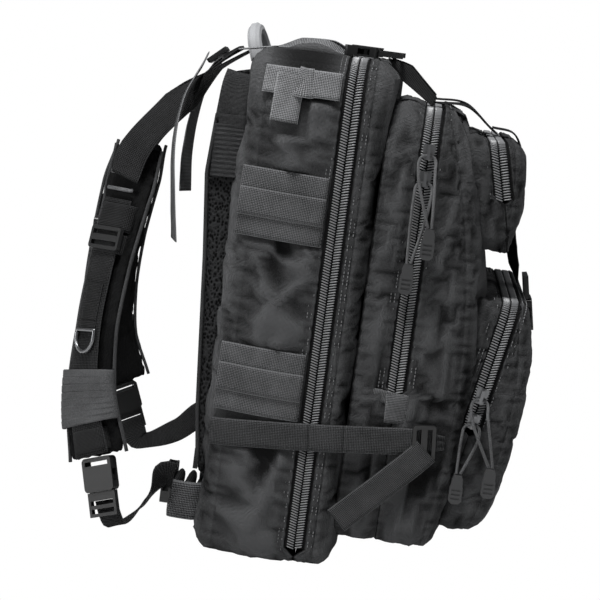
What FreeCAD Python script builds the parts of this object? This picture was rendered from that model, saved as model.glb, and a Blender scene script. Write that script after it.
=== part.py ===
import FreeCAD, Part
import math
import os

from FreeCAD import Placement, Rotation, Vector

# Three-day backpack with a clamshell main compartment, a second compartment,
# an upper and a lower front pocket, padded shoulder straps and a waist belt.
# Millimetres. X runs across the pack, +Y towards the wearer's back, +Z up.
# The origin is the middle of the main compartment's flat base, rear half.

# ---------------------------------------------------------------- sizes
WALL = 3.0                 # fabric, foam and lining of a compartment wall
SEAM_GAP = 0.3             # clearance between parts that only lie together
ZIP_GAP = 0.4              # between the two halves of a zip
ZIP_TAPE = 9.0             # half of a zip tape, coil included
ZIP_COIL = 4.0             # half of a zip coil
COIL_PROUD = 1.4           # coil above the fabric
WEB = 25.0                 # width of light webbing
WIDE_WEB = 38.0            # width of load webbing
WEB_T = 1.6                # webbing thickness
BUCKLE_T = 9.0             # side release buckle, outer thickness
BUCKLE_WALL = 1.6          # of its hollow half
FEMALE_L = 31.0             # length of its open half
MALE_T = BUCKLE_T - 2 * BUCKLE_WALL - 1.2
LOCK_T = 3.6               # ladder lock thickness
CORD_D = 2.8               # pull cord
GRIP_W, GRIP_T, GRIP_L = 12.0, 6.5, 27.0

MAIN_HALF_WIDTH = 140.0
MAIN_HIGH = 462.0
MAIN_TOP_RADIUS = 40.0
MAIN_BASE_RADIUS = 16.0
MAIN_BACK = 42.0           # rear wall, towards the wearer
MAIN_ZIP_Y = -50.0
MAIN_FRONT = -82.0         # wall shared with the second compartment
MAIN_EDGE_RADIUS = 14.0
MAIN_ZIP_FOOT = 12.0       # the zip ends just above the base hinge

SECOND_HALF_WIDTH = 132.0
SECOND_LOW = 29.0
SECOND_HIGH = 426.0
SECOND_TOP_RADIUS = 46.0
SECOND_BASE_RADIUS = 20.0
SECOND_ZIP_Y = -121.5
SECOND_ZIP_FOOT = 171.0
SECOND_FRONT_LOW = (-170.0, 20.0)
SECOND_FRONT_MID = (-183.0, 255.0)
SECOND_FRONT_TOP = (-138.0, 445.0)
SECOND_EDGE_RADIUS = 9.0

UPPER_HALF_WIDTH = 105.0
UPPER_LOW = 307.0
UPPER_HIGH = 404.0
UPPER_RADIUS = 18.0
UPPER_FRONT = ((-203.0, 300.0), (-210.0, 350.0), (-199.0, 425.0))
UPPER_ZIP = (-194.0, 354.0)
UPPER_ZIP_LEAN = -14.0
UPPER_EDGE_RADIUS = 7.0

LOWER_INSET = 10.0         # each side of the lower pocket, from the panel's edge
LOWER_HALF_WIDTH = SECOND_HALF_WIDTH - LOWER_INSET
LOWER_LOW = 47.0
LOWER_HIGH = 263.0
LOWER_RADIUS = 22.0
LOWER_FRONT = ((-205.0, 34.0), (-236.0, 212.0), (-226.0, 275.0))
LOWER_ZIP = (-193.0, 142.0)
LOWER_ZIP_LEAN = 10.0
LOWER_EDGE_RADIUS = 8.0

PAD_HALF_WIDTH = 118.0     # back panel padding
PAD_LOW, PAD_HIGH = 60.0, 438.0
PAD_CHANNEL = 22.0         # air channel down the middle
PAD_OUTER = ((52.0, 60.0), (60.0, 130.0), (70.0, 270.0), (77.0, 345.0), (71.0, 438.0))
PAD_THICKNESS = 13.0
SLEEVE_FLOOR = 340.0       # the water bladder sleeve is open above this height
GUSSET_HIGH = 398.0
GUSSET_T = 2.4

LADDER_BLOCKS = (135.0, 295.0)      # lowest edge of each block of side webbing
LADDER_PITCH = 18.5                 # middle band laps over the outer two
LADDER_FRONT, LADDER_BACK = -38.0, 38.0
LADDER_TACK = 6.0          # half length of the tack under the middle band
LADDER_CLEAR = 0.01        # the tack stays clear of the outer bands
FRONT_ROW_LOW = 155.5      # middle of the lowest band on the lower pocket
FRONT_ROW_PITCH = 26.8
FRONT_ROW_COUNT = 3
FRONT_ROW_HALF = 88.0

PAD_STRAP_W = 66.0         # padded shoulder strap
PAD_STRAP_T = 13.0
# centre line of each strap: (x, y, z) and the turn of its face about the line;
# the right strap is given as its mirror image, and hangs further from the back
LEFT_STATIONS = (
    (-88.0, 142.0, 356.0, 60.0),
    (-97.0, 147.0, 306.0, 48.0),
    (-110.0, 153.0, 250.0, 44.0),
    (-124.0, 156.0, 190.0, 44.0),
    (-140.0, 151.0, 128.0, 52.0),
    (-155.0, 136.0, 79.0, 64.0),
)
RIGHT_STATIONS = (
    (-86.0, 170.0, 346.0, 52.0),
    (-94.0, 179.0, 297.0, 48.0),
    (-103.0, 187.0, 242.0, 44.0),
    (-112.0, 191.0, 184.0, 44.0),
    (-121.0, 188.0, 126.0, 50.0),
    (-128.0, 172.0, 80.0, 60.0),
)
LEFT_WEB_PATH = ((-70.0, 29.5, 463.2), (-70.0, 62.0, 456.5), (-72.0, 92.0, 430.0), (-83.0, 112.0, 402.0))
RIGHT_WEB_PATH = ((-70.0, 29.5, 463.2), (-70.0, 64.0, 456.5), (-72.0, 100.0, 431.0), (-80.0, 132.0, 397.0))
LEFT_TAIL_PATH = ((-73.0, 93.0, 442.6), (-112.0, 103.0, 406.0), (-125.0, 105.0, 368.0),
                  (-123.0, 101.0, 322.0), (-119.0, 96.0, 280.0))
RIGHT_TAIL_PATH = ((-73.0, 98.0, 443.5), (-110.0, 117.0, 412.0), (-123.0, 126.0, 376.0),
                   (-127.0, 129.0, 336.0), (-125.0, 126.0, 298.0))
TAIL_TWIST = ((1.0, 0.1, 0.0), (0.95, 0.3, 0.0), (0.85, 0.5, 0.0), (0.75, 0.65, 0.0), (0.7, 0.7, 0.0))
WEB_BOW = 4.5              # the top webbing bows this far over its straight course
WEB_INWARD = 7.0          # load webbing meets the pad's top this far from its middle
STERNUM_Y, STERNUM_Z = 184.0, 262.0
STERNUM_TURN = 47.0         # the chest strap runs straight this far from the middle
WING_X = 16.0 - MAIN_HALF_WIDTH - 2.0     # fabric anchor of the lower webbing
WING_END_Y, WING_T = 68.0, 4.0

SLIDER_W, SLIDER_L, SLIDER_T = 11.0, 14.0, 2.0
BAIL_L, BAIL_HIGH, BAIL_ROD = 12.6, 6.0, 1.5
D_RING_ROD = 3.2
D_RING_INNER = 12.5

HARNESS_X = 62.0           # each arm of the front harness, from the middle
HARNESS_MOUTH_Y = -64.0    # where the top buckles part
ARM_TWIST = ((1.0, 0.0, 0.0), (0.9, 0.0, 0.4), (1.0, 0.0, 0.0))
D_RING_TAB = 20.0
HANDLE_SPAN = 84.0
STRAP_OVER_ZIP_Z, STRAP_OVER_GUSSET_Z, STRAP_SEAM_Z = 120.8, 124.6, 132.0
LOCK_FROM_SEAM = 19.0       # compression lock, from the seam that holds its webbing
COMPRESSION_TAIL = ((0.0, -3.0, -6.5), (-3.0, 25.0, -36.5), (-8.0, 69.0, -80.5))
HANDLE_RADIUS = 6.0
BELT_LAYERS, BELT_PITCH = 6, 5.6
BELT_INSET = 44.0           # middle of each belt bundle, from the side
LOOP_HALF = 7.6             # cord loop: from its middle to a leg
LOOP_BEND = 3.6             # size of the slanting run at each side of the bail
LOOP_FOOT = 1.7             # the ends enter the grip this far from its middle
FRONT_MOUTH_DROP = 8.0      # the front buckle parts this far under the lower pocket's top
LID_ZIP_CLEAR = 6.0         # a lid's zip starts this far over its fold

FAR = 900.0                # longer than the pack, for cutting
PARTS = {}


# ---------------------------------------------------------------- helpers
def line(a, b):
    return Part.LineSegment(a, b).toShape()


def arc(a, b, c):
    return Part.Arc(a, b, c).toShape()


def turn_x(degrees):
    return Rotation(Vector(1, 0, 0), degrees)


def box(x0, x1, y0, y1, z0, z1):
    return Part.makeBox(x1 - x0, y1 - y0, z1 - z0, Vector(x0, y0, z0))


def mirrored(shape):
    """The same piece on the pack's right side."""
    return shape.mirror(Vector(0, 0, 0), Vector(1, 0, 0))


def both_sides(shapes):
    return shapes + [mirrored(shape) for shape in shapes]


def placed(shape, origin, along, normal):
    """Puts local X on along, and local Z as near as it goes to normal."""
    x_axis = Vector(*along).normalize()
    y_axis = Vector(*normal).cross(x_axis).normalize()
    z_axis = x_axis.cross(y_axis)
    turn = Rotation(x_axis, y_axis, z_axis, "XYZ")
    result = shape.copy()
    result.Placement = Placement(Vector(*origin), turn)
    return result


def add(node, solids):
    """Keeps every solid of the pieces under one node's name."""
    flat = []
    for shape in solids:
        flat.extend(shape.Solids)
    PARTS[node] = PARTS.get(node, []) + flat


def ribbon(points, across, width, thickness):
    """Flat webbing along points, its width square to the path and near across.

    across is one direction, or one for each point where the webbing twists.
    """
    path = [Vector(*p) for p in points]
    twist = across if isinstance(across[0], tuple) else [across] * len(path)
    sections = []
    for index, point in enumerate(path):
        side = Vector(*twist[index]).normalize()
        before = path[max(index - 1, 0)]
        after = path[min(index + 1, len(path) - 1)]
        ahead = (after - before).normalize()
        normal = ahead.cross(side).normalize()
        wide = normal.cross(ahead).normalize()
        corners = []
        for u, v in ((-1, -1), (1, -1), (1, 1), (-1, 1)):
            corners.append(point + wide * (u * width / 2) + normal * (v * thickness / 2))
        sections.append(Part.makePolygon(corners + corners[:1]))
    return Part.makeLoft(sections, True, len(sections) == 2)


# ---------------------------------------------------------------- soft cases
def rounded_outline(half_width, low, high, top_radius, base_radius):
    """Face in the XZ plane with rounded corners."""
    w, t, b = half_width, top_radius, base_radius
    k = math.sqrt(0.5)

    def at(x, z):
        return Vector(x, 0, z)

    edges = [
        line(at(-w + b, low), at(w - b, low)),
        arc(at(w - b, low), at(w - b + b * k, low + b - b * k), at(w, low + b)),
        line(at(w, low + b), at(w, high - t)),
        arc(at(w, high - t), at(w - t + t * k, high - t + t * k), at(w - t, high)),
        line(at(w - t, high), at(-w + t, high)),
        arc(at(-w + t, high), at(-w + t - t * k, high - t + t * k), at(-w, high - t)),
        line(at(-w, high - t), at(-w, low + b)),
        arc(at(-w, low + b), at(-w + b - b * k, low + b - b * k), at(-w + b, low)),
    ]
    return Part.Face(Part.Wire(edges))


class SoftCase:
    """A compartment: a rounded front outline between a flat rear and a bowed or flat front."""

    def __init__(self, half_width, low, high, top_radius, base_radius, back, front, edge_radius):
        self.half_width = half_width
        self.low = low
        self.high = high
        self.top_radius = top_radius
        self.base_radius = base_radius
        self.back = back
        self.front = front
        self.edge_radius = edge_radius

    def ring(self, grow):
        """The outline grown by a distance, drawn out through the whole depth."""
        outline = rounded_outline(self.half_width + grow, self.low - grow, self.high + grow,
                                  self.top_radius + grow, self.base_radius + grow)
        outline.translate(Vector(0, -FAR / 2, 0))
        return outline.extrude(Vector(0, FAR, 0))

    def side_prism(self, grow):
        """Everything between the rear and the front, seen from the side."""
        points = [Vector(-FAR / 2, y - grow, z) for y, z in self.front]
        top = Vector(-FAR / 2, self.back + grow, points[2].z)
        foot = Vector(-FAR / 2, self.back + grow, points[0].z)
        if points[0].y == points[2].y:
            face_edge = line(points[0], points[2])
        else:
            face_edge = arc(points[0], points[1], points[2])
        wire = Part.Wire([face_edge, line(points[2], top), line(top, foot), line(foot, points[0])])
        return Part.Face(wire).extrude(Vector(FAR, 0, 0))

    def solid(self, grow=0.0, round_back=False):
        body = self.ring(grow).common(self.side_prism(grow))
        faces = sorted(body.Faces, key=lambda face: face.CenterOfMass.y)
        edges = list(faces[0].Edges)
        if round_back:
            edges += faces[-1].Edges
        return body.makeFillet(self.edge_radius + grow, edges)


def leaning_slab(zip_line, lean, start, end):
    """Space between two planes parallel to a zip's plane, counted towards the rear."""
    slab = box(-FAR, FAR, start, end, -FAR, FAR)
    slab.Placement = Placement(Vector(0, zip_line[0], zip_line[1]), turn_x(lean))
    return slab


def above_and_below(foot):
    """Spaces over and under the height where a zip ends."""
    half = ZIP_GAP / 2
    return (box(-FAR, FAR, -FAR, FAR, foot + half, FAR), box(-FAR, FAR, -FAR, FAR, -FAR, foot - half))


def zip_half(case, shell, zip_line, lean, foot, sign):
    """Tape and coil on one side of a zip; sign is 1 towards the rear."""
    above, below = above_and_below(foot)
    half = ZIP_GAP / 2
    tape = leaning_slab(zip_line, lean, *sorted((sign * half, sign * ZIP_TAPE)))
    teeth = leaning_slab(zip_line, lean, *sorted((sign * half, sign * ZIP_COIL)))
    coil = case.ring(COIL_PROUD).cut(case.ring(-WALL)).common(teeth)
    return shell.common(tape).fuse(coil).common(above).removeSplitter()


def zipped_wall(shell, zip_line, lean, foot, sign):
    """One side of a case: clear of the tape above foot, and up to the zip's plane below it."""
    above, below = above_and_below(foot)
    beyond_tape = leaning_slab(zip_line, lean, *sorted((sign * ZIP_TAPE, sign * FAR)))
    beyond_plane = leaning_slab(zip_line, lean, *sorted((sign * ZIP_GAP / 2, sign * FAR)))
    return shell.common(beyond_tape).fuse(shell.common(beyond_plane).common(below)).removeSplitter()


def main_case():
    front = tuple((MAIN_FRONT, z) for z in (-20.0, MAIN_HIGH / 2, MAIN_HIGH + 20.0))
    return SoftCase(MAIN_HALF_WIDTH, 0.0, MAIN_HIGH, MAIN_TOP_RADIUS, MAIN_BASE_RADIUS,
                    MAIN_BACK, front, MAIN_EDGE_RADIUS)


def second_case():
    return SoftCase(SECOND_HALF_WIDTH, SECOND_LOW, SECOND_HIGH, SECOND_TOP_RADIUS,
                    SECOND_BASE_RADIUS, MAIN_FRONT - SEAM_GAP,
                    (SECOND_FRONT_LOW, SECOND_FRONT_MID, SECOND_FRONT_TOP), SECOND_EDGE_RADIUS)


def upper_case():
    return SoftCase(UPPER_HALF_WIDTH, UPPER_LOW, UPPER_HIGH, UPPER_RADIUS, UPPER_RADIUS,
                    SECOND_ZIP_Y - ZIP_TAPE, UPPER_FRONT, UPPER_EDGE_RADIUS)


def lower_case():
    return SoftCase(LOWER_HALF_WIDTH, LOWER_LOW, LOWER_HIGH, LOWER_RADIUS, LOWER_RADIUS,
                    SECOND_ZIP_Y - ZIP_TAPE, LOWER_FRONT, LOWER_EDGE_RADIUS)


def front_y(points, z):
    """Depth of a bowed front at a height."""
    bow = arc(*[Vector(0, y, height) for y, height in points]).Curve
    centre, radius = bow.Center, bow.Radius
    return centre.y - math.sqrt(radius ** 2 - (z - centre.z) ** 2)


# ---------------------------------------------------------------- compartments
def make_main():
    case = main_case()
    shell = case.solid(round_back=True).cut(case.solid(-WALL, round_back=True))
    zip_line = (MAIN_ZIP_Y, 0.0)
    add("main_rear_shell", [zipped_wall(shell, zip_line, 0.0, MAIN_ZIP_FOOT, 1)] + strap_wings())
    add("main_zip_rear", [zip_half(case, shell, zip_line, 0.0, MAIN_ZIP_FOOT, 1)])
    add("main_front_shell", [zipped_wall(shell, zip_line, 0.0, MAIN_ZIP_FOOT, -1)])
    add("main_zip_front", [zip_half(case, shell, zip_line, 0.0, MAIN_ZIP_FOOT, -1)])


def make_second():
    """The rear is a plain band sewn to the main compartment's front, which closes it."""
    case = second_case()
    open_back = box(-FAR, FAR, MAIN_FRONT - 2 * WALL, FAR, -FAR, FAR).common(case.ring(-WALL))
    shell = case.solid().cut(case.solid(-WALL)).cut(open_back)
    zip_line = (SECOND_ZIP_Y, 0.0)
    add("second_gusset", [zipped_wall(shell, zip_line, 0.0, SECOND_ZIP_FOOT, 1)])
    add("second_zip_rear", [zip_half(case, shell, zip_line, 0.0, SECOND_ZIP_FOOT, 1)])
    add("second_front_shell", [zipped_wall(shell, zip_line, 0.0, SECOND_ZIP_FOOT, -1)])
    add("second_zip_front", [zip_half(case, shell, zip_line, 0.0, SECOND_ZIP_FOOT, -1)])


def make_pocket(name, case, zip_line, lean):
    """A front pocket: the body sewn to the panel, and a lid above the zip's ends."""
    panel = second_case().solid(SEAM_GAP)
    shell = case.solid().cut(case.solid(-WALL)).cut(panel)
    foot = zip_line[1]
    above, below = above_and_below(foot)
    sewn_side = shell.common(leaning_slab(zip_line, lean, ZIP_TAPE, FAR))
    lid_side = shell.common(leaning_slab(zip_line, lean, -FAR, -ZIP_TAPE))
    add(name + "_pocket_shell", [sewn_side.fuse(shell.common(below)).removeSplitter()])
    add("pocket_zips_rear", [zip_half(case, shell, zip_line, lean, foot, 1).cut(panel)])
    add(name + "_pocket_lid", [lid_side.common(above)])
    add(name + "_lid_zip", [zip_half(case, shell, zip_line, lean, foot + LID_ZIP_CLEAR, -1).cut(panel)])


# ---------------------------------------------------------------- back panel
def make_back_pad():
    """Foam and mesh panel, thick at the shoulders, with an air channel down the middle."""
    outer = [Vector(0, y, z) for y, z in PAD_OUTER]
    curve = Part.BSplineCurve()
    curve.interpolate(outer)
    seat = MAIN_BACK + SEAM_GAP
    top_inner = Vector(0, PAD_OUTER[-1][0] - PAD_THICKNESS, PAD_HIGH)
    sleeve_inner = Vector(0, PAD_OUTER[3][0] - PAD_THICKNESS, SLEEVE_FLOOR + 12.0)
    sleeve_floor = Vector(0, seat, SLEEVE_FLOOR)
    foot = Vector(0, seat, PAD_LOW)
    corners = [outer[-1], top_inner, sleeve_inner, sleeve_floor, foot, outer[0]]
    edges = [curve.toShape()]
    for a, b in zip(corners[:-1], corners[1:]):
        edges.append(line(a, b))
    profile = Part.Face(Part.Wire(edges))
    profile.translate(Vector(-PAD_HALF_WIDTH, 0, 0))
    pad = profile.extrude(Vector(2 * PAD_HALF_WIDTH, 0, 0))
    outline = rounded_outline(PAD_HALF_WIDTH, PAD_LOW, PAD_HIGH, 40.0, 18.0)
    pad = pad.common(outline.extrude(Vector(0, FAR, 0)))
    channel_face = profile.copy()
    channel_face.translate(Vector(PAD_HALF_WIDTH - PAD_CHANNEL / 2, 0, 0))
    channel = channel_face.extrude(Vector(PAD_CHANNEL, 0, 0))
    floor_part = channel.copy()
    floor_part.translate(Vector(0, -6.0, 0))
    groove = channel.cut(floor_part).common(box(-FAR, FAR, 0, FAR, PAD_LOW + 30, SLEEVE_FLOOR))
    add("back_pad", [pad.cut(groove)])


def make_elastic_gussets():
    """Pleated elastic closing the sides of the bladder sleeve, with a hemmed upper edge."""
    x = PAD_HALF_WIDTH - 12.0
    rear = MAIN_BACK + SEAM_GAP
    front = PAD_OUTER[-1][0] - PAD_THICKNESS + 1.8
    panel = box(-x - GUSSET_T, -x, rear, front, SLEEVE_FLOOR + 14.0, GUSSET_HIGH)
    pleats = []
    count = 4
    step = (front - rear - 4.0) / count
    for index in range(count):
        y = rear + 1.5 + index * step
        pleats.append(box(-x - GUSSET_T - 0.9, -x, y, y + step * 0.5, SLEEVE_FLOOR + 14.0, GUSSET_HIGH))
    hem = box(-x - GUSSET_T - 1.2, -x, rear, front, GUSSET_HIGH - 13.0, GUSSET_HIGH)
    add("elastic_gussets", both_sides([panel.fuse(pleats + [hem]).removeSplitter()]))


# ---------------------------------------------------------------- webbing
def make_side_ladders():
    """Two blocks of three bands a side; the middle band lies on its neighbours."""
    skin = -MAIN_HALF_WIDTH - SEAM_GAP
    bands = []
    for low in LADDER_BLOCKS:
        for row in range(3):
            z = low + row * LADDER_PITCH
            outer = skin - (WEB_T if row != 1 else 2 * WEB_T)
            inner = outer + WEB_T
            bands.append(box(outer, inner, LADDER_FRONT, LADDER_BACK, z, z + WEB))
        # the middle band is sewn down between its neighbours
        bands.append(box(skin - WEB_T, skin, -LADDER_TACK, LADDER_TACK, low + WEB + LADDER_CLEAR,
                         low + 2 * LADDER_PITCH - LADDER_CLEAR))
    add("side_ladder_rows", both_sides(bands))


def make_side_straps():
    """Rear half of each compression strap, and the short upper strap with its keeper and tail."""
    x = strap_over_zip()
    lower = ribbon(((-MAIN_HALF_WIDTH + 0.6, 36.0, 115.2), (-MAIN_HALF_WIDTH - 1.5, 26.0, 116.0),
                    (x, MAIN_ZIP_Y + 2 * ZIP_TAPE, 120.5), (x, MAIN_ZIP_Y - ZIP_TAPE, 122.7)),
                   (0, 0, 1), WEB, WEB_T)
    lower = lower.common(box(-FAR, FAR, MAIN_ZIP_Y + ZIP_GAP / 2, FAR, -FAR, FAR))
    turn = math.radians(20.0)          # the upper strap lies on the rounded top corner
    radius = MAIN_TOP_RADIUS + SEAM_GAP + WEB_T / 2
    x = -MAIN_HALF_WIDTH + MAIN_TOP_RADIUS - radius * math.cos(turn)
    z = MAIN_HIGH - MAIN_TOP_RADIUS + radius * math.sin(turn)
    across = (math.sin(turn), 0, math.cos(turn))
    step = WEB_T + SEAM_GAP
    upper = ribbon(((x, 28.0, z), (x, MAIN_ZIP_Y + ZIP_TAPE + 4.0, z)), across, WEB, WEB_T)
    keeper = ribbon(((x - step, 2.0, z), (x - step, -14.0, z)), across, WEB + 2.0, WEB_T)
    tail = ribbon(((x - 2.2 * step, 6.0, z + 2.0), (x - 3.4 * step, 7.0, z - 18.0),
                   (x - 3.6 * step, 8.0, z - 36.0)), (0, 1, 0), WEB, WEB_T)
    add("body_straps", both_sides([lower, upper, keeper, tail]))


def strap_over_zip():
    """Where the middle of the compression webbing lies as it crosses the main zip."""
    return -MAIN_HALF_WIDTH - COIL_PROUD - 0.4 - WEB_T / 2


def make_compression_front():
    """Front half of each compression strap, its ladder lock and the folded tail."""
    x0 = strap_over_zip()
    x1 = -SECOND_HALF_WIDTH - SEAM_GAP - WEB_T / 2
    seam_y = SECOND_FRONT_LOW[0] - 2.0
    over_gusset = Vector(min(x0, x1), MAIN_FRONT, STRAP_OVER_GUSSET_Z)
    sewn = Vector(x1, seam_y, STRAP_SEAM_Z)
    near = ribbon(((x0, MAIN_ZIP_Y + ZIP_TAPE, STRAP_OVER_ZIP_Z), tuple(over_gusset)), (0, 0, 1), WEB, WEB_T)
    near = near.common(box(-FAR, FAR, over_gusset.y + SEAM_GAP / 2, MAIN_ZIP_Y - ZIP_GAP / 2, -FAR, FAR))
    run = ribbon((tuple(over_gusset), tuple(sewn)), (0, 0, 1), WEB, WEB_T)
    run = run.common(box(-FAR, FAR, -FAR, over_gusset.y - SEAM_GAP / 2, -FAR, FAR))
    along = (sewn - over_gusset).normalize()
    out = along.cross(Vector(0, 0, 1)).normalize()
    lock_at = sewn - along * LOCK_FROM_SEAM + out * (WEB_T / 2 + 2 * SEAM_GAP + LOCK_T / 2)
    lock = placed(ladder_lock(WEB), tuple(lock_at), tuple(along), tuple(out))
    tail_at = lock_at + out * (LOCK_T / 2 + 2 * SEAM_GAP + WEB_T / 2)
    tail = ribbon([tuple(tail_at + Vector(*step)) for step in COMPRESSION_TAIL], (0, 1, 1), WEB, WEB_T)
    add("compression_straps", both_sides([near, run, tail]))
    add("compression_locks", both_sides([lock]))


def make_top_bands():
    """Bands over the top that carry the front harness buckles."""
    z = MAIN_HIGH + SEAM_GAP
    rear_end = HARNESS_MOUTH_Y + 24.0
    band = box(-HARNESS_X - WEB / 2, -HARNESS_X + WEB / 2, rear_end, MAIN_BACK - MAIN_EDGE_RADIUS,
               z, z + WEB_T)
    add("body_straps", both_sides([band]))
    female = placed(side_release_female(WEB), (-HARNESS_X, HARNESS_MOUTH_Y, harness_height()),
                    (0, 1, 0), (0, 0, 1))
    add("fixed_buckles", both_sides([female]))


def harness_height():
    """Middle of the top buckles, lying on their band."""
    return MAIN_HIGH + WEB_T + 2 * SEAM_GAP + BUCKLE_T / 2


def make_harness_front():
    """Y-shaped harness that holds the front compartments up against the pack."""
    x, z = HARNESS_X, harness_height()
    male = placed(side_release_male(WEB), (-x, HARNESS_MOUTH_Y - SEAM_GAP, z), (0, 1, 0), (0, 0, 1))
    add("top_buckle_males", both_sides([male]))
    over_second = SECOND_HIGH + 4.5
    arm = ribbon(((-x, HARNESS_MOUTH_Y - 10.0, z - 3.6), (-x + 2.0, MAIN_FRONT - 10.0, z - 15.0),
                  (-x + 7.0, SECOND_ZIP_Y - 6.0, over_second)), ARM_TWIST, WEB, WEB_T)
    add("y_strap_arms", both_sides([arm.common(box(-FAR, FAR, SECOND_ZIP_Y + ZIP_GAP, FAR, -FAR, FAR))]))
    lid_front = front_y(UPPER_FRONT, UPPER_ZIP[1]) - SEAM_GAP - 1.4
    branch = ribbon(((-x + 6.0, SECOND_ZIP_Y + 8.0, over_second + 0.4), (-42.0, -150.0, over_second + 0.6),
                     (-13.2, -178.0, UPPER_HIGH + 8.0)), (1, 0, 0), WEB, WEB_T)
    branch = branch.common(box(-FAR, FAR, -FAR, SECOND_ZIP_Y - ZIP_GAP, -FAR, FAR))
    fold = UPPER_ZIP[1]
    stem = ribbon(((0, -179.5, UPPER_HIGH + 9.0), (0, lid_front + 11.0, UPPER_HIGH + 5.5),
                   (0, lid_front, UPPER_HIGH - 22.0), (0, lid_front, fold + 3.0)), (1, 0, 0), WEB, WEB_T)
    buckle_top = LOWER_HIGH - FRONT_MOUTH_DROP + 22.0
    end_y = front_y(LOWER_FRONT, LOWER_HIGH - FRONT_MOUTH_DROP) - BUCKLE_T / 2
    end = ribbon(((0, lid_front, fold - 3.0), (0, lid_front - 1.0, UPPER_LOW + 18.0),
                  (0, lid_front - 2.0, UPPER_LOW - 4.0), (0, end_y + 16.0, buckle_top + 8.0),
                  (0, end_y + 10.5, buckle_top - 8.0)), (1, 0, 0), WEB, WEB_T)
    add("y_strap_yoke", both_sides([branch]) + [end])
    add("y_strap_stem", [stem])


def make_front_buckle():
    """The harness stem clips to the lower pocket's lid."""
    along = (0, -0.2, -1)
    mouth_z = LOWER_HIGH - FRONT_MOUTH_DROP
    mouth = (0, front_y(LOWER_FRONT, mouth_z) - BUCKLE_T / 2 - 2 * SEAM_GAP, mouth_z)
    female = placed(side_release_female(WEB), mouth, along, (0, -1, 0.2))
    male = placed(side_release_male(WEB), (0, mouth[1] + 0.1, mouth[2] + 0.3), along, (0, -1, 0.2))
    add("front_buckle_female", [female])
    add("front_buckle_male", [male])


def make_front_ladders():
    """Bands across the lower pocket's lid, each flat against the bowed front."""
    bands = []
    for row in range(FRONT_ROW_COUNT):
        z = FRONT_ROW_LOW + row * FRONT_ROW_PITCH
        top_y = front_y(LOWER_FRONT, z + WEB / 2)
        foot_y = front_y(LOWER_FRONT, z - WEB / 2)
        middle_y = min(front_y(LOWER_FRONT, z), (top_y + foot_y) / 2)
        lean = math.degrees(math.atan2(top_y - foot_y, WEB))
        band = box(-FRONT_ROW_HALF, FRONT_ROW_HALF, -WEB_T / 2, WEB_T / 2, -WEB / 2, WEB / 2)
        band.Placement = Placement(Vector(0, middle_y - WEB_T / 2 - SEAM_GAP, z), turn_x(-lean))
        bands.append(band)
    add("front_ladder_rows", bands)


def make_handle():
    """Rolled grab handle, arched across the top of the back."""
    foot_y, foot_z = MAIN_BACK + HANDLE_RADIUS - 0.2, MAIN_HIGH - 14.0
    half = HANDLE_SPAN / 2
    points = [Vector(-half, foot_y, foot_z), Vector(-half * 0.86, foot_y + 6.0, foot_z + 16.0),
              Vector(-half * 0.4, foot_y + 9.0, foot_z + 26.0), Vector(half * 0.4, foot_y + 9.0, foot_z + 26.0),
              Vector(half * 0.86, foot_y + 6.0, foot_z + 16.0), Vector(half, foot_y, foot_z)]
    curve = Part.BSplineCurve()
    curve.interpolate(points)
    path = Part.Wire([curve.toShape()])
    start = curve.tangent(curve.FirstParameter)[0]
    section = Part.Wire([Part.Circle(points[0], start, HANDLE_RADIUS).toShape()])
    add("carry_handle", [path.makePipeShell([section], True, True)])


# ---------------------------------------------------------------- hardware
def side_release_female(web):
    """Hollow half of a side release buckle; the mouth is at X = 0."""
    width, length = web + 8.0, FEMALE_L
    body = box(0, length, -width / 2, width / 2, -BUCKLE_T / 2, BUCKLE_T / 2)
    upright = [edge for edge in body.Edges if abs(edge.tangentAt(0).z) > 0.9]
    body = body.makeFillet(4.0, upright)
    inner = width / 2 - BUCKLE_WALL
    height = BUCKLE_T / 2 - BUCKLE_WALL
    body = body.cut(box(-1, length - 10.0, -inner, inner, -height, height))
    body = body.cut(box(8.0, length - 12.0, -width, width, -height, height))
    body = body.cut(box(length - 7.5, length - 3.5, -web / 2 - 0.5, web / 2 + 0.5, -BUCKLE_T, BUCKLE_T))
    return body


def side_release_male(web):
    """Barbed half: a centre tongue, two spring arms and a two-bar strap lock behind."""
    width, base, reach = web + 6.0, 22.0, 18.5
    thick = MALE_T
    body = box(-base, 0, -width / 2, width / 2, -thick / 2, thick / 2)
    for start in (-base + 3.0, -base + 10.5):
        body = body.cut(box(start, start + 4.0, -web / 2 - 0.4, web / 2 + 0.4, -BUCKLE_T, BUCKLE_T))
    tongue = box(-0.5, reach - 2.0, -2.6, 2.6, -thick / 2, thick / 2)
    outer = width / 2 - 2.2
    arm = [(-0.5, outer - 4.0), (-0.5, outer - 0.6), (9.0, outer - 0.4), (10.5, outer + 0.5),
           (reach - 5.0, outer + 0.5), (reach, outer - 4.5), (reach - 3.0, outer - 5.5), (7.0, outer - 3.4)]
    arms = []
    for sign in (1, -1):
        corners = [Vector(x, sign * y, -thick / 2) for x, y in arm]
        arms.append(Part.Face(Part.makePolygon(corners + corners[:1])).extrude(Vector(0, 0, thick)))
    return body.fuse([tongue] + arms).removeSplitter()


def ladder_lock(web):
    """Flat three-bar adjuster."""
    width, length = web + 8.0, 21.0
    body = box(-length / 2, length / 2, -width / 2, width / 2, -LOCK_T / 2, LOCK_T / 2)
    upright = [edge for edge in body.Edges if abs(edge.tangentAt(0).z) > 0.9]
    body = body.makeFillet(3.0, upright)
    for x in (-7.2, 2.8):
        body = body.cut(box(x, x + 4.4, -web / 2 - 0.5, web / 2 + 0.5, -LOCK_T, LOCK_T))
    return body


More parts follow.
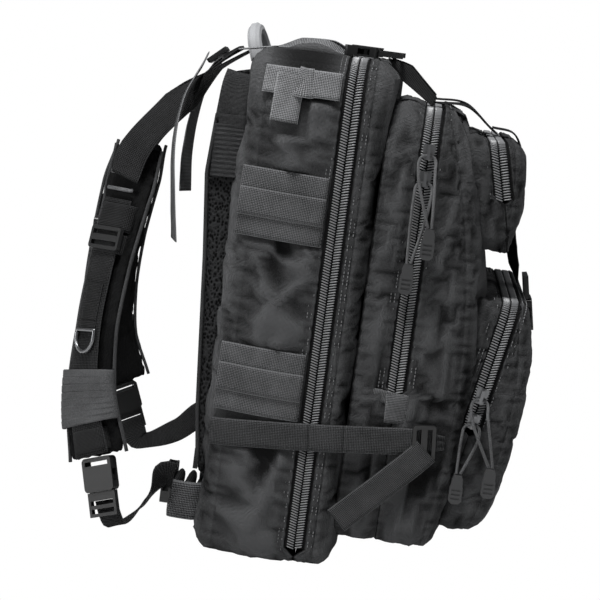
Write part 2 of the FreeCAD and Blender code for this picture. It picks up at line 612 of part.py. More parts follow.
def zip_slider():
    """Shield plate riding over the coil, with a bail for the pull.

    Local X runs along the zip, local Z out of the fabric, and Z = 0 is the tape.
    """
    floor = COIL_PROUD + SEAM_GAP
    top = floor + SLIDER_T
    shield = [(-SLIDER_L / 2, -SLIDER_W * 0.3), (-SLIDER_L / 2, SLIDER_W * 0.3), (SLIDER_L * 0.1, SLIDER_W / 2),
              (SLIDER_L / 2, SLIDER_W / 2), (SLIDER_L / 2, -SLIDER_W / 2), (SLIDER_L * 0.1, -SLIDER_W / 2)]
    corners = [Vector(x, y, floor) for x, y in shield]
    plate = Part.Face(Part.makePolygon(corners + corners[:1])).extrude(Vector(0, 0, SLIDER_T))
    upright = [edge for edge in plate.Edges if abs(edge.tangentAt(0).z) > 0.9]
    plate = plate.makeFillet(1.2, upright)
    half, leg = BAIL_L / 2, BAIL_ROD
    bail = box(-half, half, -leg, leg, floor + leg, top + BAIL_HIGH)
    window = box(leg - half, half - leg, -2 * leg, 2 * leg, floor, top + BAIL_HIGH - leg)
    return plate.fuse(bail.cut(window)).removeSplitter()


def pull_grip():
    """Moulded grip with a waist and finger ribs; its cord end is at the origin, hanging down -Z."""
    half = GRIP_W / 2
    corners = [(-half * 0.6, 0), (half * 0.6, 0), (half * 0.85, -5), (half * 0.85, -9), (half, -12),
               (half, -GRIP_L + 3), (half - 3, -GRIP_L), (-half + 3, -GRIP_L), (-half, -GRIP_L + 3),
               (-half, -12), (-half * 0.85, -9), (-half * 0.85, -5)]
    points = [Vector(-GRIP_T / 2, y, z) for y, z in corners]
    body = Part.Face(Part.makePolygon(points + points[:1])).extrude(Vector(GRIP_T, 0, 0))
    for index in range(3):
        z = -13.0 - 4.0 * index
        for side in (-1, 1):
            x = side * GRIP_T / 2
            body = body.cut(box(x - 0.6, x + 0.6, -half + 2, half - 2, z - 1.8, z))
    return body


def cord_tube(points, diameter):
    """Tube through a route of straight runs joined by tangent arcs."""
    route = [Vector(*p) for p in points]
    edges = []
    radii = []
    start = route[0]
    for before, corner, after in zip(route[:-2], route[1:-1], route[2:]):
        back = before - corner
        ahead = after - corner
        shorter = min(back.Length, ahead.Length)
        back_dir = Vector(back).normalize()
        ahead_dir = Vector(ahead).normalize()
        turn = math.pi - back_dir.getAngle(ahead_dir)
        trim = 0.45 * shorter
        radius = trim / math.tan(turn / 2)
        radii.append(round(radius, 1))
        first = corner + back_dir * trim
        last = corner + ahead_dir * trim
        inward = (back_dir + ahead_dir).normalize()
        centre = corner + inward * (radius / math.cos(turn / 2))
        middle = centre - inward * radius
        edges.append(line(start, first))
        edges.append(arc(first, middle, last))
        start = last
    edges.append(line(start, route[-1]))
    path = Part.Wire(edges)
    heading = (route[1] - route[0]).normalize()
    section = Part.Wire([Part.Circle(route[0], heading, diameter / 2).toShape()])
    tube = path.makePipeShell([section], True, True)
    expected = math.pi * diameter ** 2 / 4 * path.Length
    print("cord length %.1f radii %s volume ratio %.3f" % (path.Length, radii, tube.Volume / expected))
    return tube


def d_ring():
    """Round-rod D ring hanging in -Z from a straight bar along X at the origin."""
    r, rod = D_RING_INNER + D_RING_ROD / 2, D_RING_ROD / 2
    bar = Part.makeCylinder(rod, 2 * r, Vector(-r, 0, 0), Vector(1, 0, 0))
    legs = []
    for sign in (-1, 1):
        legs.append(Part.makeSphere(rod, Vector(sign * r, 0, 0)))
        legs.append(Part.makeCylinder(rod, 6.0, Vector(sign * r, 0, 0), Vector(0, 0, -1)))
    bow = Part.makeTorus(r, rod, Vector(0, 0, -6.0), Vector(0, 1, 0))
    bow = bow.common(box(-2 * r, 2 * r, -rod * 2, rod * 2, -3 * r, -6.0))
    return bar.fuse(legs + [bow])


def d_ring_keeper():
    """Webbing fold sewn over the bar; local axes as the ring's, local Y away from the strap."""
    rod = D_RING_ROD / 2
    inner = -rod - 1.4
    fold = box(-D_RING_TAB / 2, D_RING_TAB / 2, inner, rod + 1.6, -5.0, 8.0)
    hole = Part.makeCylinder(rod + SEAM_GAP, FAR, Vector(-FAR / 2, 0, 0), Vector(1, 0, 0))
    return fold.cut(hole)


# ---------------------------------------------------------------- shoulder straps
def strap_frame(index, stations):
    """Centre, direction, width direction and outward normal of a strap at a station."""
    points = [Vector(*s[:3]) for s in stations]
    before = points[max(index - 1, 0)]
    after = points[min(index + 1, len(points) - 1)]
    down = (after - before).normalize()
    angle = math.radians(stations[index][3])
    outward = Vector(-math.sin(angle), math.cos(angle), 0)
    wide = down.cross(outward).normalize()
    normal = wide.cross(down).normalize()
    return points[index], down, wide, normal


def stadium(centre, wide, normal, width, thickness):
    """Long section with half-round edges."""
    r = thickness / 2
    a = wide * (width / 2 - r)
    b = normal * r
    tip = wide * (width / 2)
    return Part.Wire([line(centre - a - b, centre + a - b), arc(centre + a - b, centre + tip, centre + a + b),
                      line(centre + a + b, centre - a + b), arc(centre - a + b, centre - tip, centre - a - b)])


def shoulder_pad(stations):
    sections = []
    for index in range(len(stations)):
        centre, down, wide, normal = strap_frame(index, stations)
        taper = 0.84 if index == 0 else 1.0
        sections.append(stadium(centre, wide, normal, PAD_STRAP_W * taper, PAD_STRAP_T))
    return Part.makeLoft(sections, True, False)


def face_webbing(stations):
    """Load webbing sewn down the outer face of the pad, below the end of the top webbing."""
    sections = []
    lift = PAD_STRAP_T / 2 + 2 * SEAM_GAP + WEB_T / 2
    for index in range(len(stations)):
        centre, down, wide, normal = strap_frame(index, stations)
        middle = centre + normal * lift
        a, b = wide * (WIDE_WEB / 2), normal * (WEB_T / 2)
        corners = [middle - a - b, middle + a - b, middle + a + b, middle - a + b]
        sections.append(Part.makePolygon(corners + corners[:1]))
    centre, down, wide, normal = strap_frame(1, stations)
    below = placed(box(0, FAR, -FAR, FAR, -FAR, FAR), tuple(centre), tuple(down), tuple(normal))
    return Part.makeLoft(sections, True, False).common(below)


def top_webbing(stations, path):
    """Load webbing from the top of the back, turning flat onto the top of the pad."""
    lift = PAD_STRAP_T / 2 + 4 * SEAM_GAP + WEB_T / 2
    points, across = list(path), [(1, 0, 0), (1, 0, 0), (1, 0.05, 0.05), (0.7, 0.55, 0.45)]
    for share, extra in ((0.0, 4.4), (0.5, 4.8)):
        spot, down, normal = on_strap(stations, 0, lift + extra, share)
        level = down.cross(normal)
        level = level if level.y > 0 else level * -1
        if not share:
            points.append(tuple(spot - down * 16.0 + normal * 2.0 - level * WEB_INWARD))
            across.append(tuple(level))
        points.append(tuple(spot - level * WEB_INWARD * (1.0 - share)))
        across.append(tuple(level))
    return ribbon(points, across, WIDE_WEB, WEB_T)


def on_strap(stations, index, lift, share=0.5):
    """A point above the strap's outer face between two stations, with its directions."""
    c0, d0, w0, n0 = strap_frame(index, stations)
    c1, d1, w1, n1 = strap_frame(index + 1, stations)
    centre = c0 + (c1 - c0) * share
    down = (d0 + (d1 - d0) * share).normalize()
    normal = (n0 + (n1 - n0) * share).normalize()
    return centre + normal * lift, down, normal


def strap_wings():
    """Triangular fabric anchors sewn into the back seam near the base."""
    x = WING_X - WING_T / 2
    points = [Vector(x, MAIN_BACK, 92.0), Vector(x, MAIN_BACK, 30.0),
              Vector(x, WING_END_Y, 50.0), Vector(x, WING_END_Y, 76.0)]
    wing = Part.Face(Part.makePolygon(points + points[:1])).extrude(Vector(WING_T, 0, 0))
    return both_sides([wing.cut(main_case().solid(round_back=True))])


def one_strap(name, stations, web_path, tail_path, place):
    """Pad, webbing, tail and adjusters of one strap; place puts it on its side of the pack."""
    add("shoulder_pad_" + name, [place(shoulder_pad(stations))])
    add("shoulder_webbing", [place(top_webbing(stations, web_path)), place(face_webbing(stations))])
    add("load_lifter_tails", [place(ribbon(tail_path, TAIL_TWIST, WEB, WEB_T))])
    start, end = Vector(*web_path[1]), Vector(*web_path[2])
    down = (end - start).normalize()
    out = Vector(1, 0, 0).cross(down).normalize()
    lock_at = (start + end) * 0.5 + out * (WEB_T / 2 + LOCK_T / 2 + WEB_BOW)
    lifter = placed(ladder_lock(WEB), tuple(lock_at), tuple(down), tuple(out))
    lift = PAD_STRAP_T / 2 + 2 * SEAM_GAP + WEB_T + LOCK_T / 2 + 1.0
    spot, down, normal = on_strap(stations, 1, lift, 0.65)
    adjuster = placed(ladder_lock(WIDE_WEB), tuple(spot), tuple(down), tuple(normal))
    add("strap_adjusters", [place(lifter), place(adjuster)])


def make_shoulder_straps():
    one_strap("left", LEFT_STATIONS, LEFT_WEB_PATH, LEFT_TAIL_PATH, as_made)
    one_strap("right", RIGHT_STATIONS, RIGHT_WEB_PATH, RIGHT_TAIL_PATH, mirrored)


def as_made(shape):
    return shape


def make_d_rings():
    lift = PAD_STRAP_T / 2 + 2 * SEAM_GAP + WEB_T + D_RING_ROD / 2 + 1.5
    for name, stations, place in (("left", LEFT_STATIONS, as_made), ("right", RIGHT_STATIONS, mirrored)):
        spot, down, normal = on_strap(stations, 3, lift, 0.05)
        across = down.cross(normal).normalize()
        back = down * -1
        seat = Placement(spot, Rotation(across, back.cross(across), back, "XYZ"))
        ring = d_ring()
        ring.Placement = seat
        keeper = d_ring_keeper()
        keeper.Placement = seat
        add("d_ring_" + name, [place(ring)])
        add("shoulder_webbing", [place(keeper)])
        print("d ring", name, "pivot", spot, "axis", across)


def sternum_webbing(stations, end_y, share, reach):
    """Webbing from a pad's inner edge to one half of the sternum buckle."""
    centre, down, normal = on_strap(stations, 1, 0.0, share)
    edge = centre + down.cross(normal) * (PAD_STRAP_W - PAD_STRAP_T) * 0.5
    turn = Vector(-STERNUM_TURN, end_y, STERNUM_Z)
    toward = (turn - edge).normalize()
    foot = edge + toward * (PAD_STRAP_T / 2 + SEAM_GAP + 1.3 * WEB_T)
    bend = foot + toward * 10.0
    across = (tuple(down * -1), tuple(down * -1), (0, 0, 1), (0, 0, 1))
    return ribbon((tuple(foot), tuple(bend), tuple(turn), (-reach, end_y, STERNUM_Z)), across, WEB, WEB_T)


def make_sternum_strap():
    """Chest strap between the pads, joined by a side release buckle in the middle."""
    behind = STERNUM_Y - BUCKLE_T / 2 + 1.0
    left = sternum_webbing(LEFT_STATIONS, STERNUM_Y, 0.7, FEMALE_L + 0.5)
    right = sternum_webbing(RIGHT_STATIONS, behind, 0.6, 10.0)
    add("strap_webbing", [left, mirrored(right)])
    middle = (0, STERNUM_Y, STERNUM_Z)
    female = placed(side_release_female(WEB), middle, (-1, 0, 0), (0, 1, 0))
    male = placed(side_release_male(WEB), (SEAM_GAP, STERNUM_Y, STERNUM_Z), (-1, 0, 0), (0, 1, 0))
    add("fixed_buckles", [female])
    add("sternum_buckle_male", [male])


def make_lower_straps():
    """Pad end tab, side release buckle and the adjusting webbing back to the base."""
    for name, stations, place in (("left", LEFT_STATIONS, as_made), ("right", RIGHT_STATIONS, mirrored)):
        centre, down, wide, normal = strap_frame(len(stations) - 1, stations)
        mouth = centre + down * (FEMALE_L + SEAM_GAP)
        female = placed(side_release_female(WEB), tuple(mouth), tuple(down * -1), tuple(normal))
        male_at = mouth + down * SEAM_GAP
        male = placed(side_release_male(WEB), tuple(male_at), tuple(down * -1), tuple(normal))
        add("fixed_buckles", [place(female)])
        add("strap_buckle_male_" + name, [place(male)])
        print("strap mouth", name, mouth, "down", down, "normal", normal)
        lap = mouth + down * 8.0 - normal * 4.0
        rear = mouth + down * 19.0 - normal * 6.2
        bend = mouth + down * 31.0 - normal * 14.0
        level = wide if wide.z > 0 else wide * -1
        wing = Vector(WING_X, WING_END_Y + SEAM_GAP + WEB_T / 2, 63.0)
        quarter = wing + Vector(0, 9.0, 0)
        middle = quarter + (bend - quarter) * 0.4 + Vector(0, 0, -8.0)
        upright = Vector(0, 0.1, 1)
        web = ribbon([tuple(p) for p in (wing, quarter, middle, bend, rear, lap)],
                     [tuple(d) for d in (upright, upright * 0.9 + level * 0.1, upright * 0.5 + level * 0.5,
                                         level, level, level)], WEB, WEB_T)
        add("strap_webbing", [place(web)])


def folded_webbing(x, y, low, high, layers, pitch, width):
    """Webbing folded to and fro; y is the middle of the first layer."""
    solids = []
    for index in range(layers):
        at = y + index * pitch
        solids.append(box(x - width / 2, x + width / 2, at - WEB_T / 2, at + WEB_T / 2, low, high))
        if index:
            end, away = (high, FAR) if index % 2 else (low, -FAR)
            centre = Vector(x - width / 2, at - pitch / 2, end)
            outer = Part.makeCylinder(pitch / 2 + WEB_T / 2, width, centre, Vector(1, 0, 0))
            inner = Part.makeCylinder(pitch / 2 - WEB_T / 2, width, centre, Vector(1, 0, 0))
            solids.append(outer.cut(inner).common(box(-FAR, FAR, -FAR, FAR, *sorted((end, away)))))
    return solids[0].fuse(solids[1:]).removeSplitter()


def make_waist_belt():
    """Folded webbing belt stowed against the back, with both buckle halves."""
    x = MAIN_HALF_WIDTH - BELT_INSET
    first = MAIN_BACK + SEAM_GAP + WEB_T / 2
    bundle = folded_webbing(-x, first, 24.0, 54.0, BELT_LAYERS, BELT_PITCH, WIDE_WEB)
    add("waist_belt", both_sides([bundle]))
    last = first + (BELT_LAYERS - 1) * BELT_PITCH
    seat = last + WEB_T / 2 + SEAM_GAP
    female = placed(side_release_female(WIDE_WEB), (-x, seat + BUCKLE_T / 2, 64.0), (0, 0, -1), (0, 1, 0))
    male = placed(side_release_male(WIDE_WEB), (x, seat + MALE_T / 2, 36.0), (0, 0, 1), (0, 1, 0))
    add("fixed_buckles", [female, male])


# ---------------------------------------------------------------- sliders and pulls
def make_pull(name, origin, along, normal, drop, sway, stand_off=3.0):
    """Slider, cord loop and grip. The cord leaves the grip, passes the bail and returns.

    It runs straight through the bail, which it turns about, and rests on the lower leg.
    """
    add(name + "_slider", [placed(zip_slider(), origin, along, normal)])
    out = Vector(*normal).normalize()
    bail_middle = COIL_PROUD + SEAM_GAP + SLIDER_T + (BAIL_HIGH - BAIL_ROD) / 2
    rest = BAIL_L / 2 - BAIL_ROD - CORD_D / 2 - 1.5 * SEAM_GAP
    eye = Vector(*origin) + out * bail_middle - Vector(*along) * rest
    level = out.cross(Vector(0, 0, 1)).normalize()

    def at(fall, side, lift):
        share = max(0.0, fall / drop - 0.25) / 0.75
        return eye - Vector(0, 0, fall) + level * (side + sway * share) + out * (stand_off * lift)

    left_leg = [at(drop, -LOOP_FOOT, 1.0), at(drop * 0.5, -LOOP_HALF * 0.85, 1.0),
                at(LOOP_BEND * 3.5, -LOOP_HALF, 0.7), at(LOOP_BEND, -LOOP_HALF, 0.0),
                at(0.0, LOOP_BEND - LOOP_HALF, 0.0)]
    right_leg = [at(0.0, LOOP_HALF - LOOP_BEND, 0.0), at(LOOP_BEND, LOOP_HALF, 0.0),
                 at(LOOP_BEND * 3.5, LOOP_HALF, 0.7), at(drop * 0.5, LOOP_HALF * 0.85, 1.0),
                 at(drop, LOOP_FOOT, 1.0)]
    add(name + "_pull_cord", [cord_tube([tuple(p) for p in left_leg + right_leg], CORD_D)])
    grip = pull_grip()
    grip.Placement = Placement(at(drop + 3 * SEAM_GAP, 0.0, 1.0),
                               Rotation(out, level * -1, Vector(0, 0, 1), "XYZ"))
    add(name + "_pull_grip", [grip])
    print(name, "bail", [round(v, 2) for v in eye], "level", [round(v, 3) for v in level])


def on_zip(zip_line, lean, z):
    """Depth of a zip's plane at a height."""
    return zip_line[0] - (z - zip_line[1]) * math.tan(math.radians(lean))


def make_pulls():
    up = (0, 0, 1)
    left, right = (-1, 0, 0), (1, 0, 0)
    make_pull("main", (MAIN_HALF_WIDTH, MAIN_ZIP_Y, 300.0), up, right, 62.0, 0.0)
    x = -SECOND_HALF_WIDTH
    make_pull("second_upper", (x, SECOND_ZIP_Y, 390.0), up, left, 62.0, -10.0, 11.0)
    make_pull("second_lower", (x, SECOND_ZIP_Y, 366.0), up, left, 72.0, 4.0)
    lean = math.radians(LOWER_ZIP_LEAN)
    along = (0, -math.sin(lean), math.cos(lean))
    for name, z, drop, sway, stand_off in (("lower_upper", 178.0, 58.0, -17.0, 12.0),
                                           ("lower_lower", 154.0, 46.0, 6.0, 3.0)):
        y = on_zip(LOWER_ZIP, LOWER_ZIP_LEAN, z)
        make_pull(name, (-LOWER_HALF_WIDTH, y, z), along, left, drop, sway, stand_off)
    lean = math.radians(UPPER_ZIP_LEAN)
    y = on_zip(UPPER_ZIP, UPPER_ZIP_LEAN, 382.0)
    make_pull("upper", (UPPER_HALF_WIDTH, y, 382.0), (0, -math.sin(lean), math.cos(lean)), right, 44.0, 0.0)


def main():
    make_main()
    make_second()
    make_pocket("upper", upper_case(), UPPER_ZIP, UPPER_ZIP_LEAN)
    make_pocket("lower", lower_case(), LOWER_ZIP, LOWER_ZIP_LEAN)
    make_back_pad()
    make_elastic_gussets()
    make_side_ladders()
    make_side_straps()
    make_compression_front()
    make_top_bands()
    make_harness_front()
    make_front_buckle()
    make_front_ladders()
    make_handle()
    make_shoulder_straps()
    make_d_rings()
    make_sternum_strap()
    make_lower_straps()
    make_waist_belt()
    make_pulls()

main()
os.makedirs("parts", exist_ok=True)
for node, solids in PARTS.items():
    shape = solids[0] if len(solids) == 1 else Part.makeCompound(solids)
    if not shape.isValid():
        print("INVALID", node)
    shape.exportStep("parts/" + node + ".step")
print(len(PARTS), "nodes")
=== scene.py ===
import bmesh
import bpy
import math
import numpy as np
from mathutils import Matrix, Vector


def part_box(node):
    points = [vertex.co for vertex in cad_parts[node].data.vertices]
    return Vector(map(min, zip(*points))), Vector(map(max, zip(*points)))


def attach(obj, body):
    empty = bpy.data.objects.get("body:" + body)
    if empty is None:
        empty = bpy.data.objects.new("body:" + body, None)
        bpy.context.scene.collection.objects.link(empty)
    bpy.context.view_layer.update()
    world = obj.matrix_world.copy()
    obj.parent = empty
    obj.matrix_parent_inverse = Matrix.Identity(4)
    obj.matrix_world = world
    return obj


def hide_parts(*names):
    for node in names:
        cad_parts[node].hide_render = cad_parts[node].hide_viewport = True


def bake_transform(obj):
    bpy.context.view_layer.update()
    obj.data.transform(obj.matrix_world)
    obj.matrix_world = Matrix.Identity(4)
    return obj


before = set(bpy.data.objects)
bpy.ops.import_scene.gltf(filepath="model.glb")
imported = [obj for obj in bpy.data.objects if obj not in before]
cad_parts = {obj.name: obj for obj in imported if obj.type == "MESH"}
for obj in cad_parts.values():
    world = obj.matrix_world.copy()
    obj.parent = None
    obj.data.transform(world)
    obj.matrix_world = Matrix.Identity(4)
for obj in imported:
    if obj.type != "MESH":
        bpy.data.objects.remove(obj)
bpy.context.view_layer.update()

MM = 0.001
WEB, WIDE_WEB, WEB_T = 25.0, 38.0, 1.6   # light and load webbing, and its thickness
GAP = 0.3                                # between pieces that only lie together
ACROSS, UPRIGHT, DEEP = (1, 0, 0), (0, 0, 1), (0, 1, 0)

# ------------------------------------------------------------------ vectors and noise
rng = np.random.default_rng(20)
SHUFFLE = rng.permutation(512)
SLOPES = rng.normal(size=(512, 3))
SLOPES /= np.linalg.norm(SLOPES, axis=1)[:, None]


def noise3(p):
    """Gradient noise, about -0.7 to 0.7, for an array of points."""
    cell = np.floor(p).astype(int)
    f = p - cell
    w = f * f * f * (f * (f * 6 - 15) + 10)
    total = np.zeros(len(p))
    for dx in (0, 1):
        for dy in (0, 1):
            for dz in (0, 1):
                h = SHUFFLE[(SHUFFLE[(cell[:, 0] + dx) % 512] + cell[:, 1] + dy) % 512]
                h = SHUFFLE[(h + cell[:, 2] + dz) % 512]
                g = np.einsum("ij,ij->i", SLOPES[h], f - (dx, dy, dz))
                for axis, step in enumerate((dx, dy, dz)):
                    g = g * (w[:, axis] if step else 1 - w[:, axis])
                total += g
    return total


def fold_noise(p, sizes, seed):
    """Cloth folds: ridges stretched by sizes (mm along x, y, z), 0 to 1."""
    q = p / np.array(sizes) + seed * 7.31
    warp = noise3(q * 0.6 + 3.7)
    n = noise3(q + warp[:, None] * 0.9)
    return np.clip(1 - np.abs(n) * 2.6, 0, 1) ** 2


def units(rows):
    return rows / np.linalg.norm(rows, axis=1)[:, None]


def unit(v):
    return v / np.linalg.norm(v)


def dots(a, b):
    return np.einsum("ij,ij->i", a, b)


def run_length(path):
    """Distance along a path at each of its points."""
    return np.concatenate([[0], np.cumsum(np.linalg.norm(np.diff(path, axis=0), axis=1))])


def read_at(at, run, values):
    """Values of a path at distances along it."""
    return np.stack([np.interp(at, run, values[:, k]) for k in range(3)], axis=-1)


def ease(a, b, x):
    t = min(1.0, max(0.0, (x - a) / (b - a)))
    return t * t * (3 - 2 * t)


def bell(x, middle, broad):
    return np.exp(-((x - middle) / broad) ** 2)


# ------------------------------------------------------------------ finishes
def grey(v):
    return (v * 0.985, v, v * 1.03)


def finish(name, base, rough, surface=None, metal=0.0, spec=0.5):
    """A material of one grey; surface adds its tones and relief."""
    m = bpy.data.materials.new(name)
    m.use_nodes = True
    nt = m.node_tree
    b = nt.nodes["Principled BSDF"]
    b.inputs["Base Color"].default_value = (*grey(base), 1)
    b.inputs["Roughness"].default_value = rough
    b.inputs["Metallic"].default_value = metal
    b.inputs["Specular IOR Level"].default_value = spec
    m.diffuse_color = (*grey(base), 1)
    if surface:
        surface(nt, b, base)
    return m


def maths(nt, op, a, b=None):
    n = nt.nodes.new("ShaderNodeMath")
    n.operation = op
    for socket, v in zip(n.inputs, (a, b)):
        if isinstance(v, (int, float)):
            socket.default_value = v
        elif v is not None:
            nt.links.new(v, socket)
    return n.outputs[0]


def total_of(nt, *parts):
    """Sum of sockets, each times its share."""
    total = None
    for socket, share in parts:
        part = maths(nt, "MULTIPLY", socket, share)
        total = part if total is None else maths(nt, "ADD", total, part)
    return total


def sine(nt, socket, pitch):
    return maths(nt, "SINE", maths(nt, "MULTIPLY", socket, 2 * math.pi / pitch))


def weave(nt, coord, pitch):
    """A woven grid of bumps from the sines of each coordinate."""
    sep = nt.nodes.new("ShaderNodeSeparateXYZ")
    nt.links.new(coord, sep.inputs[0])
    x, y, z = (sine(nt, sep.outputs[axis], pitch) for axis in "XYZ")
    return maths(nt, "ADD", maths(nt, "ADD", x, y), z)


def cloud(nt, coord, scale, detail, rough=0.55):
    n = nt.nodes.new("ShaderNodeTexNoise")
    nt.links.new(coord, n.inputs["Vector"])
    n.inputs["Scale"].default_value = scale
    n.inputs["Detail"].default_value = detail
    n.inputs["Roughness"].default_value = rough
    return n.outputs["Fac"]


def relief(nt, b, layers):
    """Stacked bump nodes; a layer is a height socket, a distance in metres and a strength."""
    normal = None
    for height, distance, strength in layers:
        n = nt.nodes.new("ShaderNodeBump")
        n.inputs["Distance"].default_value = distance
        n.inputs["Strength"].default_value = strength
        nt.links.new(height, n.inputs["Height"])
        if normal is not None:
            nt.links.new(normal, n.inputs["Normal"])
        normal = n.outputs[0]
    nt.links.new(normal, b.inputs["Normal"])


def tint(nt, b, fac, dark, light, low, high):
    ramp = nt.nodes.new("ShaderNodeValToRGB")
    for element, position, value in zip(ramp.color_ramp.elements, (low, high), (dark, light)):
        element.position = position
        element.color = (*grey(value), 1)
    nt.links.new(fac, ramp.inputs[0])
    nt.links.new(ramp.outputs[0], b.inputs["Base Color"])


def object_coord(nt):
    return nt.nodes.new("ShaderNodeTexCoord").outputs["Object"]


def woven(spread, pitch=0.0011, depth=0.5):
    """Plain woven cloth, mottled by its spread."""
    def surface(nt, b, base):
        co = object_coord(nt)
        speck = cloud(nt, co, 900.0, 2.0, 0.7)
        mix = total_of(nt, (cloud(nt, co, 26.0, 4.0, 0.6), 0.45), (speck, 0.55))
        tint(nt, b, mix, base * (1 - spread), base * (1 + spread), 0.36, 0.64)
        relief(nt, b, [(cloud(nt, co, 70.0, 3.0, 0.6), 0.003, 0.5), (speck, 0.0004, 0.7),
                       (weave(nt, co, pitch), 0.0003, depth)])
    return surface


def pack_cloth(nt, b, base):
    """Woven cloth with painted shade and highlight: lighter on its ridges, darker in its hollows and darkest
    in a painted shadow line at its seams, as its per-point shading attribute says.
    """
    co = object_coord(nt)
    speck = cloud(nt, co, 1000.0, 2.0, 0.7)
    # painted shade and highlight, read from the per-point attribute that tray() writes
    wear = nt.nodes.new("ShaderNodeAttribute")
    wear.attribute_name = "wear"
    mix = total_of(nt, (cloud(nt, co, 15.0, 3.0, 0.6), 0.2), (speck, 0.25), (wear.outputs["Fac"], 0.55))
    tint(nt, b, mix, base * 0.22, base * 2.1, 0.34, 0.68)
    relief(nt, b, [(cloud(nt, co, 70.0, 3.0, 0.6), 0.002, 0.4), (speck, 0.0004, 0.7),
                   (weave(nt, co, 0.0011), 0.0003, 0.9)])


def ribbed_webbing(nt, b, base):
    """Ribs along the webbing and rows across it, with a light rim."""
    uv = nt.nodes.new("ShaderNodeTexCoord").outputs["UV"]
    sep = nt.nodes.new("ShaderNodeSeparateXYZ")
    nt.links.new(uv, sep.inputs[0])
    width = WEB * MM
    rib, row = sine(nt, sep.outputs["Y"], width / 17), sine(nt, sep.outputs["X"], 0.0015)
    shade = maths(nt, "ADD", maths(nt, "MULTIPLY", maths(nt, "ADD", rib, row), 0.3), 0.5)
    off = maths(nt, "SUBTRACT", maths(nt, "MULTIPLY", sep.outputs["Y"], 2 / width), 1.0)
    rim = maths(nt, "POWER", maths(nt, "ABSOLUTE", off), 28.0)
    mix = total_of(nt, (shade, 0.55), (cloud(nt, object_coord(nt), 40.0, 3.0, 0.6), 0.4), (rim, 0.6))
    tint(nt, b, mix, base * 0.2, base * 2.0, 0.22, 0.78)
    relief(nt, b, [(rib, 0.0004, 0.7), (row, 0.0004, 0.7)])


def moulded(nt, b, base):
    """The fine grain of a moulded or enamelled surface."""
    relief(nt, b, [(cloud(nt, object_coord(nt), 1400.0, 2.0), 0.0001, 0.35)])


def spacer_mesh(nt, b, base):
    """The cells of a knitted mesh."""
    scale = nt.nodes.new("ShaderNodeVectorMath")
    scale.operation = "MULTIPLY"
    nt.links.new(object_coord(nt), scale.inputs[0])
    scale.inputs[1].default_value = (420, 420, 300)
    cells = nt.nodes.new("ShaderNodeTexVoronoi")
    cells.inputs["Scale"].default_value = 1.0
    nt.links.new(scale.outputs[0], cells.inputs["Vector"])
    d = cells.outputs["Distance"]
    tint(nt, b, d, 0.002, 0.024, 0.25, 0.6)
    relief(nt, b, [(d, 0.0012, 1.0)])


FABRIC = finish("polyester_weave", 0.026, 0.7, woven(0.5, depth=0.9), spec=0.07)
CLOTH = finish("pack_cloth", 0.035, 0.7, pack_cloth, spec=0.07)
CLOTH_FRONT = finish("pack_cloth_front", 0.029, 0.7, pack_cloth, spec=0.07)
WEBBING = finish("webbing", 0.068, 0.65, ribbed_webbing, spec=0.08)
WEBBING_MID = finish("webbing_mid", 0.034, 0.65, ribbed_webbing, spec=0.08)
WEBBING_LIGHT = finish("webbing_light", 0.12, 0.65, ribbed_webbing, spec=0.1)
WEBBING_DARK = finish("webbing_dark", 0.012, 0.65, ribbed_webbing, spec=0.06)
ELASTIC_LIGHT = finish("ribbed_elastic", 0.055, 0.7, woven(0.35, 0.0009), spec=0.08)
PIPING = finish("piping", 0.035, 0.7, woven(0.3, 0.0009), spec=0.08)
TAPE = finish("zip_tape", 0.007, 0.8, woven(0.3, 0.0008), spec=0.05)
COIL = finish("zip_coil", 0.14, 0.35, spec=0.5)
PLASTIC = finish("acetal", 0.009, 0.35, moulded, spec=0.35)
METAL = finish("enamelled_metal", 0.14, 0.3, moulded, metal=0.85)
THREAD = finish("thread", 0.15, 0.6, spec=0.2)
CORD = finish("braided_cord", 0.11, 0.6, woven(0.4, 0.0008, 1.0), spec=0.2)
GRIP = finish("moulded_grip", 0.03, 0.5, moulded, spec=0.25)
MESH = finish("spacer_mesh", 0.009, 0.85, spacer_mesh, spec=0.04)
ELASTIC = finish("elastic", 0.03, 0.7, woven(0.3), spec=0.07)
FOAM = finish("strap_fabric", 0.005, 0.8, woven(0.35, 0.0012), spec=0.03)


# ------------------------------------------------------------------ meshes
def link(name, data):
    ob = bpy.data.objects.new(name, data)
    bpy.context.scene.collection.objects.link(ob)
    return ob


def outward(me, drop_loose=False):
    """Turns a mesh's faces outwards."""
    bm = bmesh.new()
    bm.from_mesh(me)
    if drop_loose:
        loose = [v for v in bm.verts if not v.link_faces]
        bmesh.ops.delete(bm, geom=loose, context="VERTS")
    bmesh.ops.recalc_face_normals(bm, faces=bm.faces)
    bm.to_mesh(me)
    bm.free()


def build(name, coords, faces, mat):
    """A smooth piece from millimetres."""
    me = bpy.data.meshes.new(name)
    me.from_pydata((np.asarray(coords) * MM).tolist(), [], faces)
    outward(me, drop_loose=True)
    me.shade_smooth()
    me.materials.append(mat)
    return link(name, me)


def loops_joined(rings, around):
    """Faces between closed rings of points."""
    return [(k + i, k + (i + 1) % around, k + around + (i + 1) % around, k + around + i)
            for k in range(0, (rings - 1) * around, around) for i in range(around)]


def capped(rings, around):
    """Faces between closed rings, with both ends shut."""
    first, last = range(around), range((rings - 1) * around, rings * around)
    return loops_joined(rings, around) + [tuple(first), tuple(last)]


def strips_joined(rows, across, start=0):
    """Faces between open rows of points."""
    return [(k + i, k + i + 1, k + across + i + 1, k + across + i)
            for k in range(start, start + (rows - 1) * across, across) for i in range(across - 1)]


def merge(coords, faces, layers):
    """Joins vertices that share a place, so that separately made grids make one surface."""
    _, first, back = np.unique(np.round(coords, 3), axis=0, return_index=True, return_inverse=True)
    back = back.reshape(-1)
    faces = [tuple(int(back[i]) for i in f) for f in faces]
    faces = [f for f in faces if len(set(f)) == len(f)]
    return coords[first], faces, [layer[first] for layer in layers]


